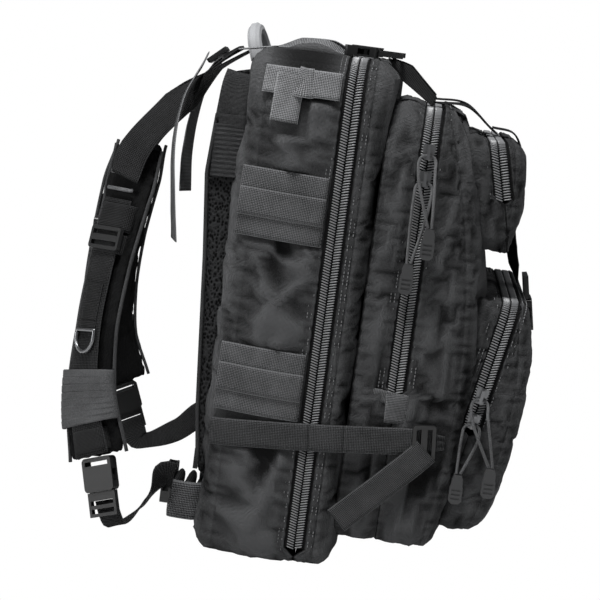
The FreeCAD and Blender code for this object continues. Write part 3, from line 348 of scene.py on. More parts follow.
def normals_of(coords, faces):
    me = bpy.data.meshes.new("scratch")
    me.from_pydata(coords.tolist(), [], faces)
    bm = bmesh.new()
    bm.from_mesh(me)
    bmesh.ops.recalc_face_normals(bm, faces=bm.faces)
    bm.verts.ensure_lookup_table()
    n = np.array([v.normal[:] for v in bm.verts])
    bm.free()
    bpy.data.meshes.remove(me)
    return n


def points_of(ob):
    co = np.zeros(len(ob.data.vertices) * 3)
    ob.data.vertices.foreach_get("co", co)
    return co.reshape(-1, 3) / MM


def put_points(ob, co):
    ob.data.vertices.foreach_set("co", (co * MM).ravel())


def baked(ob):
    """The mesh as the modifiers leave it."""
    return bpy.data.meshes.new_from_object(ob.evaluated_get(bpy.context.evaluated_depsgraph_get()))


def baked_copy(ob):
    """The piece with its thickness made real, so that it can be joined or remeshed."""
    new = link(ob.name, baked(ob))
    bpy.data.objects.remove(ob)
    return new


def solidify(ob, thick, offset=-1.0):
    m = ob.modifiers.new("thickness", "SOLIDIFY")
    m.thickness = thick * MM
    m.offset = offset
    m.use_even_offset = False
    return ob


def flipped(ob, name):
    """The mirror image across the middle plane."""
    new = link(name, ob.data.copy())
    put_points(new, points_of(new) * (-1, 1, 1))
    new.data.flip_normals()
    return new


def join(name, obs):
    """Joins meshes that share a body into one piece."""
    bpy.ops.object.select_all(action="DESELECT")
    for o in obs:
        o.select_set(True)
    bpy.context.view_layer.objects.active = obs[0]
    if len(obs) > 1:
        bpy.ops.object.join()
    obs[0].name = name
    return obs[0]


def dress(ob, body, slot_name, *nodes):
    """Puts a piece on its body, in place of its CAD nodes. Its slot_name is not used."""
    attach(ob, body)
    if nodes:
        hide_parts(*nodes)
    return ob


def dress_pair(left, right_name, body, slot_name, *nodes):
    """Dresses a left piece and its mirror image."""
    dress(flipped(left, right_name), body, slot_name)
    dress(left, body, slot_name, *nodes)


# ------------------------------------------------------------------ cloth
def simulate(ob, pressure, cap, held, frames, shrink=0.0, bend=0.5):
    """Runs Blender's cloth on a piece and keeps the result, each point moved by cap millimetres at most."""
    before = points_of(ob)
    m = ob.modifiers.new("cloth", "CLOTH")
    c = m.settings
    group = ob.vertex_groups.new(name="held")
    for index in np.nonzero(held > 0.02)[0]:
        group.add([int(index)], float(held[index]), "REPLACE")
    c.vertex_group_mass = "held"
    c.quality = 3
    c.mass = 0.3
    c.tension_stiffness = c.compression_stiffness = 15
    c.shear_stiffness = 5
    c.bending_stiffness = bend
    c.shrink_min = shrink
    c.use_pressure = True
    c.uniform_pressure_force = pressure
    c.effector_weights.gravity = 0
    m.collision_settings.use_collision = False
    m.point_cache.frame_start = 1
    m.point_cache.frame_end = frames
    for frame_number in range(1, frames + 1):
        bpy.context.scene.frame_set(frame_number)
    done = ob.evaluated_get(bpy.context.evaluated_depsgraph_get()).to_mesh()
    after = np.zeros(len(done.vertices) * 3)
    done.vertices.foreach_get("co", after)
    ob.modifiers.remove(m)
    bpy.context.scene.frame_set(1)
    ob.vertex_groups.remove(group)
    step = np.nan_to_num(after.reshape(-1, 3) / MM - before)
    size = np.linalg.norm(step, axis=1)[:, None]
    step *= np.minimum(1, cap / np.maximum(size, 1e-6))
    put_points(ob, before + step)
    ob.data.update()


def buckle(ob, held, spare):
    """Cloth a little larger than its frame, held at its seams, so that it folds between them."""
    simulate(ob, 0.5, 7.0, held, 12, shrink=-spare, bend=3.0)


def plump(ob, pressure, cap, held_at):
    """A padded piece: remeshed, blown up as cloth between the edges that held_at holds, and smoothed once."""
    m = ob.modifiers.new("remesh", "REMESH")
    m.mode = "VOXEL"
    m.voxel_size = 5.0 * MM
    made = baked(ob)
    ob.modifiers.remove(m)
    mats = list(ob.data.materials)
    ob.data = made
    made.materials.clear()
    for mat in mats:
        made.materials.append(mat)
    simulate(ob, pressure, cap, held_at(points_of(ob)), 11)
    m = ob.modifiers.new("round", "SUBSURF")
    m.levels = m.render_levels = 1
    made = baked(ob)
    ob.modifiers.remove(m)
    ob.data = made
    made.shade_smooth()
    return ob


# ------------------------------------------------------------------ trays of cloth
def corner(centre_x, centre_z, radius, start, steps, total):
    """Points and normals at some steps of a quarter turn, clockwise from start degrees."""
    turns = [math.radians(start - 90 * i / total) for i in steps]
    pts = [(centre_x + radius * math.cos(a), centre_z + radius * math.sin(a)) for a in turns]
    return pts, [(math.cos(a), math.sin(a)) for a in turns]


class Case:
    """Rounded upright tray outline in X and Z; corner centres stay put as it is inset."""

    def __init__(self, hw, low, high, top_radius, base_radius, step=4.0, marks=()):
        self.hw, self.low, self.high = hw, low, high
        self.top_radius, self.base_radius = top_radius, base_radius
        foot, head = low + base_radius, high - top_radius
        stops = [foot] + sorted(z for z in marks if foot < z < head) + [head]
        self.rise = [foot]
        for a, b in zip(stops[:-1], stops[1:]):
            n = max(1, round((b - a) / step))
            self.rise += [a + (b - a) * i / n for i in range(1, n + 1)]
        self.base_points = max(4, round(base_radius * math.pi / 2 / step))
        self.top_points = max(4, round(top_radius * math.pi / 2 / step))
        self.across = max(8, round(2 * (hw - max(top_radius, base_radius)) / step))

    def left(self, inset):
        """Left half outline from the base up: points and outward normals."""
        base, top = self.base_radius, self.top_radius
        n = self.base_points
        pts, nrm = corner(-self.hw + base, self.low + base, base - inset, -90, range(n), n)
        pts += [(-self.hw + inset, z) for z in self.rise]
        nrm += [(-1.0, 0.0)] * len(self.rise)
        n = self.top_points
        more, turned = corner(-self.hw + top, self.high - top, top - inset, 180, range(1, n + 1), n)
        return np.array(pts + more), np.array(nrm + turned)

    def over(self, left, left_normals):
        """A left outline, the straight top and the mirrored right outline."""
        right = left * (-1, 1)
        share = np.linspace(0, 1, self.across + 1)[1:-1, None]
        top = left[-1] + (right[-1] - left[-1]) * share
        up = np.tile((0.0, 1.0), (len(top), 1))
        right_normals = left_normals * (-1, 1)
        return np.vstack([left, top, right[::-1]]), np.vstack([left_normals, up, right_normals[::-1]])

    def loop(self, inset=0.0):
        """The whole outline, closed along the base."""
        left, normals = self.left(inset)
        share = np.linspace(0, 1, self.across + 1)[1:-1, None]
        right_foot = left[0] * (-1, 1)
        base = right_foot + (left[0] - right_foot) * share
        return np.vstack([self.over(left, normals)[0], base])

    def run(self, foot):
        """The part of the outline above foot, from the left foot over the top to the right foot."""
        left, normals = self.left(0.0)
        keep = left[:, 1] >= foot - 0.01
        keep[:self.base_points] &= foot <= self.low + self.base_radius
        return self.over(left[keep], normals[keep])


def tray_wall(case, edge_y, face_y, side, radius, puff, across, rounded):
    """Rings from the zip to the face, closer together at both seams, then round the edge.

    With each point: how much it puffs, how far it is from a seam, and its place round the case.
    """
    outline = case.loop()
    count = len(outline)
    arc = np.concatenate([[0], np.cumsum(np.linalg.norm(np.roll(outline, -1, 0) - outline, axis=1))[:-1]])
    start = np.array([edge_y(z) for z in outline[:, 1]])
    end = np.array([face_y(z) for z in outline[:, 1]]) - side * radius
    rings, puffs, seams = [], [], []
    for k in range(across + 1):
        t = 0.5 - 0.5 * math.cos(math.pi * k / across)
        y = start + (end - start) * t
        rings.append(np.column_stack([outline[:, 0], y, outline[:, 1]]))
        puffs.append(np.full(count, math.sin(math.pi * min(1, t)) ** 0.8 * puff))
        seams.append(np.minimum(np.abs(y - start), np.abs(y - end) + 2.0))
    for k in range(1, 5 if rounded else 1):
        a = math.pi / 8 * k
        ring = case.loop(radius * (1 - math.cos(a)))
        y = np.array([face_y(z) for z in ring[:, 1]]) - side * radius * (1 - math.sin(a))
        rings.append(np.column_stack([ring[:, 0], y, ring[:, 1]]))
        puffs.append(np.zeros(count))
        seams.append(np.full(count, 3.0 + 2 * k))
    layers = (np.concatenate(puffs), np.concatenate(seams), np.tile(arc, len(rings)))
    return np.vstack(rings), loops_joined(len(rings), count), layers


def tray_face(case, face_y, radius, bulge, start):
    """Rows of the flat face inside the rounded edge, with the same three measures as the wall."""
    left, _ = case.left(radius)
    share = np.linspace(0, 1, case.across + 1)
    half, mid = (case.high - case.low) / 2, (case.high + case.low) / 2
    rows, puffs, seams, places = [], [], [], []
    for x0, z in left:
        xs = x0 + (-2 * x0) * share
        rows.append(np.column_stack([xs, np.full_like(xs, face_y(z)), np.full_like(xs, z)]))
        inside = np.clip(1 - (xs / case.hw) ** 2, 0, 1) * max(0, 1 - ((z - mid) / half) ** 2)
        puffs.append(inside * bulge)
        seams.append(np.minimum(case.hw - np.abs(xs), min(z - case.low, case.high - z)) + 4)
        places.append(xs + z)
    layers = (np.concatenate(puffs), np.concatenate(seams), np.concatenate(places))
    return np.vstack(rows), strips_joined(len(left), case.across + 1, start), layers


SEWN_GROOVES = ((1.2, -0.7, 1.0), (3.0, 0.6, 0.8), (6.6, 0.6, 0.8), (4.8, -0.35, 0.9))  # place, rise, breadth


def tray(name, case, edge_y, face_y, side, radius, mat, puff, seed, folds, across, bulge=None,
         fold_sizes=(60, 40, 26), spare=0.0, under=None):
    """A wall round the case from edge_y(z) to face_y(z), its rounded edge, and a face if it has a bulge.

    side is -1 towards the front. spare is the cloth's extra size, and under keeps it beneath what is sewn on.
    """
    has_face = bulge is not None
    coords, faces, layers = tray_wall(case, edge_y, face_y, side, radius, puff, across, has_face)
    if has_face:
        more, more_faces, more_layers = tray_face(case, face_y, radius, bulge, len(coords))
        coords = np.vstack([coords, more])
        faces = faces + more_faces
        layers = [np.concatenate(pair) for pair in zip(layers, more_layers)]
    coords, faces, (swells, seam, place) = merge(coords, faces, layers)
    normal = normals_of(coords, faces)
    centre = np.array([0, (edge_y(case.high) + face_y(case.high)) / 2, (case.low + case.high) / 2])
    normal *= np.sign(dots(normal, coords - centre).sum()) or 1
    broad = fold_noise(coords, fold_sizes, seed) - 0.25
    fine = fold_noise(coords, np.array(fold_sizes) * 0.42, seed + 3) - 0.25
    pucker = np.sin(place * 2 * math.pi / 11 + 4 * noise3(coords / 16 + 9)) * np.exp(-seam / 7.0) * 0.4
    move = (swells * (0.8 + 0.5 * noise3(coords / 90 + seed))
            + folds * (1 - np.exp(-seam / 9.0)) * (broad + 0.14 * fine) + pucker)
    for at, rise, breadth in SEWN_GROOVES:
        move -= rise * bell(seam, at, breadth)
    ob = build(name, coords + normal * move[:, None], faces, mat)
    if spare:
        buckle(ob, np.clip(1 - seam / 7.0, 0, 1), spare)
    if under is not None:
        put_points(ob, under(points_of(ob)))
    # Painted shade and highlight: lighter where the cloth rises, darker where it sinks, a painted shadow line
    # right at the seams and a painted highlight on the rolled edge beside them.
    height = dots(points_of(ob) - coords, normal) - swells
    wear = 0.5 + 0.14 * height - 0.5 * bell(seam, 0.2, 1.0) + 0.12 * bell(seam, 2.0, 0.8)
    ob.data.attributes.new("wear", "FLOAT", "POINT").data.foreach_set("value", np.clip(wear, 0, 1))
    return ob


# ------------------------------------------------------------------ webbing, tubes and repeats
def between(t, a, b, start, end):
    """The value at t on the line from a at start to b at end."""
    return (end - t) / (end - start) * a + (t - start) / (end - start) * b


def spline(points, step=3.0):
    """Catmull-Rom through the points (centripetal), sampled every step millimetres."""
    p = np.asarray(points, float)
    if len(p) == 2:
        n = max(2, int(np.linalg.norm(p[1] - p[0]) / step))
        return p[0] + (p[1] - p[0]) * np.linspace(0, 1, n + 1)[:, None]
    ext = np.vstack([2 * p[0] - p[1], p, 2 * p[-1] - p[-2]])
    out = []
    for i in range(1, len(ext) - 2):
        knots = ext[i - 1:i + 3]
        times = np.concatenate([[0.0], np.cumsum(np.linalg.norm(np.diff(knots, axis=0), axis=1) ** 0.5)])
        n = max(2, int(np.linalg.norm(knots[2] - knots[1]) / step))
        for t in np.linspace(times[1], times[2], n, endpoint=False):
            level = list(knots)
            for gap in (1, 2):
                level = [between(t, a, b, times[k], times[k + gap])
                         for k, (a, b) in enumerate(zip(level[:-1], level[1:]))]
            out.append(between(t, level[0], level[1], times[1], times[2]))
    out.append(p[-1])
    return np.array(out)


def square_to(side, tangent):
    """Unit directions of side, turned square to the tangent."""
    return units(side - tangent * dots(side, tangent)[:, None])


def ribbon(name, points, across, width, mat, thick=WEB_T, wave=0.3, seed=0, curl=0.0, taper=(1.0, 1.0)):
    """Webbing along a path; across is one direction, or one a point. taper is its gathering at each end.

    Its UV is in metres, U along and V across as on webbing 25 mm wide.
    """
    path = spline(points)
    n = len(path)
    tangent = units(np.gradient(path, axis=0))
    length = run_length(path)
    if isinstance(across[0], (tuple, list)):
        source = run_length(np.asarray(points, float))
        side = read_at(length / length[-1] * source[-1], source, units(np.array(across, float)))
    else:
        side = np.tile(np.array(across, float), (n, 1))
    side = square_to(side, tangent)
    up = np.cross(tangent, side)
    half, t, columns = width / 2, thick / 2, 9
    profile = []
    for face, order in ((1, range(columns)), (-1, range(columns - 1, -1, -1))):
        for c in order:
            edge = 1 if 0 < c < columns - 1 else 0.45
            profile.append((-half + width * c / (columns - 1), face * t * edge))
    ripple = noise3(path / 22 + seed) * wave
    gather = np.interp(np.linspace(0, 1, n), (0, 0.35, 0.65, 1), (taper[0], 1, 1, taper[1]))
    pleats = (1 - gather) * 2.0
    coords, uvs = [], []
    for i in range(n):
        for a, b in profile:
            lift = ripple[i] * (1 + a / half * 0.6) + curl * (a / half) ** 2
            rise = b + lift + pleats[i] * math.cos(a / half * 7)
            coords.append(path[i] + side[i] * a * gather[i] + up[i] * rise)
            uvs.append((length[i] * MM, (a + half) / width * WEB * MM))
    me = bpy.data.meshes.new(name)
    me.from_pydata((np.array(coords) * MM).tolist(), [], capped(n, len(profile)))
    layer = me.uv_layers.new(name="UVMap")
    corners = np.zeros(len(me.loops), int)
    me.loops.foreach_get("vertex_index", corners)
    layer.data.foreach_set("uv", np.array(uvs)[corners].ravel())
    outward(me)
    me.shade_smooth()
    me.materials.append(mat)
    return link(name, me)


def tube(name, path, radius, mat, sides=8, ribs=0.0):
    """A round tube along a path, with nine ribs where ribs is set."""
    path = np.asarray(path, float)
    coords = []
    for p, t in zip(path, units(np.gradient(path, axis=0))):
        a = unit(DEEP - t * np.dot(DEEP, t))
        b = np.cross(t, a)
        for j in range(sides):
            q = 2 * math.pi * j / sides
            r = radius * (1 + ribs * math.sin(q * 9))
            coords.append(p + a * r * math.cos(q) + b * r * math.sin(q))
    return build(name, coords, capped(len(path), sides), mat)


def capsule(name, length, radius, sides, flat):
    """A rounded bar along X, copied by the trees below and hidden itself."""
    rings = [(-0.5, 0.35), (-0.42, 0.85), (-0.3, 1.0), (0.3, 1.0), (0.42, 0.85), (0.5, 0.35)]
    coords = []
    for x, r in rings:
        for i in range(sides):
            a = 2 * math.pi * i / sides
            coords.append((x * length, radius * r * math.cos(a), radius * r * math.sin(a) * flat))
    ob = build(name, coords, capped(len(rings), sides), THREAD)
    ob.hide_render = True
    ob.hide_viewport = True
    return ob


TOOTH = capsule("tooth_source", 6.7, 0.62, 6, 1.4)
STITCH = capsule("stitch_source", 2.2, 0.42, 5, 0.8)


def repeat_tree():
    """Geometry nodes that put Source on every point, turned by the point's own angles, in Finish."""
    tree = bpy.data.node_groups.new("repeat", "GeometryNodeTree")
    sockets = {}
    for name, kind in (("Geometry", "NodeSocketGeometry"), ("Source", "NodeSocketObject"),
                       ("Finish", "NodeSocketMaterial")):
        sockets[name] = tree.interface.new_socket(name, in_out="INPUT", socket_type=kind).identifier
    tree.interface.new_socket("Geometry", in_out="OUTPUT", socket_type="NodeSocketGeometry")
    given, out, on_points, angles, info, real, coat, turn = (tree.nodes.new(kind) for kind in (
        "NodeGroupInput", "NodeGroupOutput", "GeometryNodeInstanceOnPoints",
        "GeometryNodeInputNamedAttribute", "GeometryNodeObjectInfo", "GeometryNodeRealizeInstances",
        "GeometryNodeSetMaterial", "FunctionNodeEulerToRotation"))
    angles.data_type = "FLOAT_VECTOR"
    angles.inputs["Name"].default_value = "turn"
    for source, target in ((given.outputs["Geometry"], on_points.inputs["Points"]),
                           (given.outputs["Source"], info.inputs["Object"]),
                           (given.outputs["Finish"], coat.inputs["Material"]),
                           (info.outputs["Geometry"], on_points.inputs["Instance"]),
                           (angles.outputs["Attribute"], turn.inputs[0]),
                           (turn.outputs[0], on_points.inputs["Rotation"]),
                           (on_points.outputs[0], real.inputs[0]), (real.outputs[0], coat.inputs[0]),
                           (coat.outputs[0], out.inputs[0])):
        tree.links.new(source, target)
    return tree, sockets


REPEAT, REPEAT_SOCKETS = repeat_tree()


def repeated(name, places, along, normal, source, mat):
    """Copies of source at places, its X along 'along' and its Z along 'normal', made by geometry nodes."""
    along = units(along)
    normal = square_to(normal, along)
    cross = np.cross(normal, along)
    me = bpy.data.meshes.new(name)
    me.from_pydata((places * MM).tolist(), [], [])
    turns = [Matrix((a, c, n)).transposed().to_euler("XYZ")[:] for a, c, n in zip(along, cross, normal)]
    me.attributes.new("turn", "FLOAT_VECTOR", "POINT").data.foreach_set("vector", np.array(turns).ravel())
    ob = link(name, me)
    modifier = ob.modifiers.new("repeat", "NODES")
    modifier.node_group = REPEAT
    modifier[REPEAT_SOCKETS["Source"]] = source
    modifier[REPEAT_SOCKETS["Finish"]] = mat
    made = baked(ob)
    made.materials.clear()
    made.materials.append(mat)
    made.shade_smooth()
    new = link(name, made)
    bpy.data.objects.remove(ob)
    return new


def resample(points, normals, pitch, start):
    """Even places along a polyline, with its direction and the normal there."""
    run = run_length(points)
    at = np.arange(start, run[-1], pitch)
    return read_at(at, run, points), read_at(at + 0.5, run, points) - read_at(at - 0.5, run, points), \
        read_at(at, run, normals)


# ------------------------------------------------------------------ sizes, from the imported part
def high(node):
    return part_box(node)[1] / MM


def low(node):
    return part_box(node)[0] / MM


def bow(points):
    """Depth of a bowed front at a height, on the circle through three (y, z) points."""
    (y0, z0), (y1, z1), (y2, z2) = points
    a, b, c = 2 * (y1 - y0), 2 * (z1 - z0), y1 * y1 - y0 * y0 + z1 * z1 - z0 * z0
    d, e, f = 2 * (y2 - y1), 2 * (z2 - z1), y2 * y2 - y1 * y1 + z2 * z2 - z1 * z1
    det = a * e - b * d
    cy, cz = (c * e - b * f) / det, (a * f - c * d) / det
    r = math.hypot(y0 - cy, z0 - cz)
    return lambda z: cy - math.sqrt(max(0.0, r * r - (z - cz) ** 2))


MAIN_HW, MAIN_TOP = high("main_front_shell").x, high("main_front_shell").z
MAIN_FRONT = low("main_front_shell").y
MAIN_BACK, MAIN_ZIP, MAIN_FOOT, MAIN_ROUND = 42.0, -50.0, 12.0, 40.0
SECOND_HW, SECOND_LOW, SECOND_TOP = high("second_gusset").x, low("second_gusset").z, high("second_gusset").z
SECOND_ZIP, SECOND_FOOT = -121.5, 171.0
UPPER_HW, UPPER_LOW, UPPER_FOLD, UPPER_TOP = high("upper_pocket_lid").x, 307.0, 354.0, 404.0
LOWER_HW, LOWER_LOW, LOWER_FOLD, LOWER_TOP = high("lower_pocket_lid").x, 47.0, 142.0, 263.0
second_front = bow(((-170.0, 20.0), (-183.0, 255.0), (-138.0, 445.0)))
upper_front = bow(((-203.0, 300.0), (-210.0, 350.0), (-199.0, 425.0)))
lower_front = bow(((-205.0, 34.0), (-236.0, 212.0), (-226.0, 275.0)))
main_case = Case(MAIN_HW, 0.0, MAIN_TOP, MAIN_ROUND, 16.0)
second_case = Case(SECOND_HW, SECOND_LOW, SECOND_TOP, 46.0, 20.0, marks=(SECOND_FOOT,))
upper_case = Case(UPPER_HW, UPPER_LOW, UPPER_TOP, 18.0, 18.0, step=3.5, marks=(UPPER_FOLD,))
lower_case = Case(LOWER_HW, LOWER_LOW, LOWER_TOP, 22.0, 22.0, step=3.5, marks=(LOWER_FOLD,))


def main_zip(z):
    return MAIN_ZIP


def second_zip(z):
    return SECOND_ZIP


def upper_zip(z):
    return -194.0 + (z - UPPER_FOLD) * math.tan(math.radians(14))


def lower_zip(z):
    return -193.0 - (z - LOWER_FOLD) * math.tan(math.radians(10))


# ------------------------------------------------------------------ compartments
HALF_TAPE = 9.0     # a zip's tape on one side of its coil
TOP_BAND_X = 62.0   # the bands over the top, which the harness arms meet


def zip_edge(plane, foot, sign):
    """Where the cloth stops beside a zip, and meets its other half below the zip's end."""
    return lambda z: plane(z) + sign * (0.1 + (HALF_TAPE - 0.1) * ease(foot - 3, foot + 3, z))


def swell(y):
    """How far the side panel stands out between its seams."""
    return 3.2 * np.sin(math.pi * np.clip((y + 41) / 69, 0, 1)) ** 0.8


def narrowed(co, where, limit):
    """Brings the points picked by where within limit of the middle plane."""
    co[:, 0] = np.where(where, np.sign(co[:, 0]) * np.minimum(np.abs(co[:, 0]), limit), co[:, 0])


def on_base(co):
    """The main compartment stands on a flat base, which also clears the flap's hinge."""
    co[:, 2] = np.maximum(co[:, 2], 0.0)
    return co


def under_bands(co):
    """The side cloth stays beneath the webbing sewn on it: bands, upper strap, tail and top band."""
    banded = np.zeros(len(co), bool)
    for z0, z1 in ((102, 134), (133, 200), (293, 360)):
        banded |= (co[:, 2] > z0) & (co[:, 2] < z1)
    narrowed(co, banded & (np.abs(co[:, 0]) > MAIN_HW - 6), MAIN_HW + swell(co[:, 1]) * 0.95 - 0.5)
    turn = np.column_stack([np.abs(co[:, 0]) - (MAIN_HW - MAIN_ROUND), co[:, 2] - (MAIN_TOP - MAIN_ROUND)])
    near = (turn.min(axis=1) > 0) & (co[:, 1] < 34)
    far = np.maximum(np.linalg.norm(turn, axis=1), 1)
    shrink = np.where(near, np.minimum(1, (MAIN_ROUND + 0.6) / far), 1)
    co[:, 0] = np.where(near, np.sign(co[:, 0]) * (MAIN_HW - MAIN_ROUND + turn[:, 0] * shrink), co[:, 0])
    co[:, 2] = np.where(near, MAIN_TOP - MAIN_ROUND + turn[:, 1] * shrink, co[:, 2])
    tail = (co[:, 2] > MAIN_TOP - 76) & (co[:, 2] < MAIN_TOP - 36) & (np.abs(co[:, 1] - 8) < 20)
    narrowed(co, tail & (np.abs(co[:, 0]) > MAIN_HW - 6), MAIN_HW + 3.0)
    lid = (np.abs(np.abs(co[:, 0]) - TOP_BAND_X) < 15) & (co[:, 2] > MAIN_TOP - 8)
    co[:, 2] = np.where(lid, np.minimum(co[:, 2], MAIN_TOP + 0.3), co[:, 2])
    return on_base(co)


def under_strap(co):
    """The second compartment's cloth stays beneath the compression webbing."""
    banded = (co[:, 2] > 108) & (co[:, 2] < 148) & (np.abs(co[:, 0]) > SECOND_HW - 6)
    narrowed(co, banded, 141.4 + (co[:, 1] + 82) * 0.1056)
    return co


def make_compartments():
    rear = tray("main_rear", main_case, zip_edge(main_zip, MAIN_FOOT, 1), lambda z: MAIN_BACK, 1, 14.0, CLOTH,
                puff=3.0, bulge=1.0, seed=2, folds=3.2, across=20, spare=0.03, under=under_bands,
                fold_sizes=(70, 40, 75))
    dress(solidify(rear, 2.2), "rear", "pack_fabric", "main_rear_shell")
    front = tray("main_front", main_case, zip_edge(main_zip, MAIN_FOOT, -1), lambda z: MAIN_FRONT, -1, 14.0,
                 CLOTH, puff=0.8, bulge=0.5, seed=4, folds=2.6, across=9, spare=0.02, under=on_base,
                 fold_sizes=(50, 14, 130))
    dress(solidify(front, 2.2), "front", "pack_fabric", "main_front_shell")
    gusset = tray("second_rear", second_case, lambda z: MAIN_FRONT - 0.4,
                  zip_edge(second_zip, SECOND_FOOT, 1), -1, 0.0, CLOTH_FRONT, puff=1.6, seed=6, folds=4.2,
                  across=12, spare=0.035, under=under_strap, fold_sizes=(50, 13, 150))
    dress(solidify(gusset, 2.2), "front", "pack_fabric", "second_gusset")
    panel = tray("second_panel", second_case, zip_edge(second_zip, SECOND_FOOT, -1), second_front, -1, 9.0,
                 CLOTH_FRONT, puff=2.2, bulge=1.5, seed=8, folds=4.0, across=16, spare=0.035,
                 under=under_strap, fold_sizes=(50, 16, 150))
    dress(solidify(panel, 2.2), "second_front", "pack_fabric", "second_front_shell")


def make_pocket(name, case, plane, face_y, fold, radius, seed):
    """A wall that stays on the second compartment, and a cover in place of the lid's CAD node."""
    wall = tray(name + "_pocket_wall", case, lambda z: max(second_front(z), plane(z) + 12.0) + 3.0,
                zip_edge(plane, fold, 1), -1, 0.0, CLOTH_FRONT, puff=1.2, seed=seed, folds=2.6, across=9,
                fold_sizes=(40, 13, 80), spare=0.03)
    dress(solidify(wall, 2.0), "second_front", "pack_fabric", name + "_pocket_shell")
    cover = tray(name + "_pocket_cover", case, zip_edge(plane, fold, -1), face_y, -1, radius, CLOTH_FRONT,
                 puff=1.2, bulge=1.5, seed=seed + 1, folds=2.6, across=9, fold_sizes=(50, 20, 50), spare=0.03)
    y = face_y(fold)
    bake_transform(cover)
    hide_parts(name + "_pocket_lid")
    solidify(cover, 2.0)


def around_case(case, foot, y_of):
    """Points and outward directions on a case's outline above foot, at the depth y_of gives."""
    run, normals = case.run(foot)
    points = np.column_stack([run[:, 0], [y_of(z) for z in run[:, 1]], run[:, 1]])
    return points, np.column_stack([normals[:, 0], np.zeros(len(normals)), normals[:, 1]])


def zip_line(name, case, foot, plane, bodies, nodes):
    """Tapes and coil of one zip: a piece for each side, on its own body."""
    pitch = 2.45
    columns = ((0.15, -0.7), (1.2, -0.5), (HALF_TAPE * 0.65, -0.5), (HALF_TAPE + 1.5, -0.9))
    points, out = around_case(case, foot, plane)
    for sign, end, body, node in zip((1, -1), ("_rear", "_front"), bodies, nodes):
        rows = [points + out * lift + np.array((0, sign * off, 0)) for off, lift in columns]
        tape = build(name + "_tape", np.vstack(rows), strips_joined(len(rows), len(points)), TAPE)
        solidify(tape, 0.8, 0.0)
        places, along, normal = resample(points + out * 0.6 + np.array((0, sign * 3.75, 0)), out, pitch,
                                         0.3 if sign > 0 else 0.3 + pitch / 2)
        cross = np.array(DEEP) + units(along) * 0.28 * sign
        teeth = repeated(name + "_teeth", places, cross, normal, TOOTH, COIL)
        dress(join(name + end, [baked_copy(tape), teeth]), body, "zip_coil", node)


def seam(name, case, foot, y_of, body, *offsets):
    """Rows of stitches round a case, each at its offset in depth."""
    points, out = around_case(case, foot, y_of)
    rows = []
    for off in (0.0, *offsets):
        places, along, normal = resample(points + out * 0.35 + np.array((0, off, 0)), out, 3.4, 1.0)
        rows.append(repeated(name, places, along, normal, STITCH, THREAD))
    dress(join(name, rows), body, "pack_fabric")


make_compartments()
make_pocket("upper", upper_case, upper_zip, upper_front, UPPER_FOLD, 7.0, 11)
make_pocket("lower", lower_case, lower_zip, lower_front, LOWER_FOLD, 8.0, 14)

zip_line("main_zip", main_case, MAIN_FOOT, main_zip, ("rear", "front"), ("main_zip_rear", "main_zip_front"))
zip_line("second_zip", second_case, SECOND_FOOT, second_zip, ("front", "second_front"),
         ("second_zip_rear", "second_zip_front"))
zip_line("upper_zip", upper_case, UPPER_FOLD, upper_zip, ("second_front", "upper_lid"),
         ("pocket_zips_rear", "upper_lid_zip"))
zip_line("lower_zip", lower_case, LOWER_FOLD + 4, lower_zip, ("second_front", "lower_lid"),
         ("pocket_zips_rear", "lower_lid_zip"))

seam("main_rear_stitches", main_case, 10.0, lambda z: -38.0, "rear", 3.6)
seam("main_front_stitches", main_case, 10.0, lambda z: -62.0, "front", -3.6)
seam("second_rear_stitches", second_case, SECOND_FOOT, lambda z: -109.5, "front", 3.6)
seam("second_panel_stitches", second_case, SECOND_FOOT, lambda z: -133.5, "second_front", -3.6)
seam("upper_wall_stitches", upper_case, UPPER_FOLD, lambda z: upper_zip(z) + 11.5, "second_front")
seam("upper_cover_stitches", upper_case, UPPER_FOLD + 6, lambda z: upper_zip(z) - 10.5, "upper_lid")
seam("lower_wall_stitches", lower_case, LOWER_FOLD, lambda z: lower_zip(z) + 11.5, "second_front", 3.4)
seam("lower_cover_stitches", lower_case, LOWER_FOLD + 6, lambda z: lower_zip(z) - 11.0, "lower_lid", -3.4)


# ------------------------------------------------------------------ webbing
def hang(ob, body, other_name):
    """A loose tail of webbing and its mirror image, both put on the body."""
    other = flipped(ob, other_name)
    for piece in (ob, other):
        dress(piece, body, "webbing")


def side_band(start, end, lift, seed):
    """A band sewn along the left side panel from start to end (y, z), following its swell."""
    points = []
    for k in range(9):
        y, z = (a + (b - a) * (k / 8) for a, b in zip(start, end))
        points.append((-(MAIN_HW + 0.4 + lift + float(swell(y)) * 0.95), y, z))
    return ribbon("band", points, UPRIGHT, WEB, WEBBING, wave=0.35, seed=seed)


def make_side_bands():
    bands = []
    for foot in (135.0, 295.0):
        for row, lift in ((0, 1.0), (2, 1.0), (1, 2.9)):
            z = foot + row * 18.5 + 12.5
            bands.append(side_band((39.0, z + 1.5), (-38.0, z - 1.0), lift, row + foot))
    left = join("side_bands_left", bands)
    dress_pair(left, "side_bands_right", "rear", "webbing", "side_ladder_rows")


def make_front_bands():
    rows = []
    for k in range(3):
        z = 155.5 + k * 26.8
        points = [(x, lower_front(z) - 2.6 - 1.8 * (1 - (x / LOWER_HW) ** 2), z)
                  for x in (-88, -60, -30, 0, 30, 60, 88)]
        slope = (lower_front(z + 12) - lower_front(z - 12)) / 24
        rows.append(ribbon("row", points, (0, slope, 1), WEB, WEBBING, seed=k))
    dress(join("front_bands", rows), "lower_lid", "webbing", "front_ladder_rows")


SIDE_X = -(MAIN_HW + 1.4 + 0.4 + WEB_T / 2)     # compression webbing where it leaves the main side


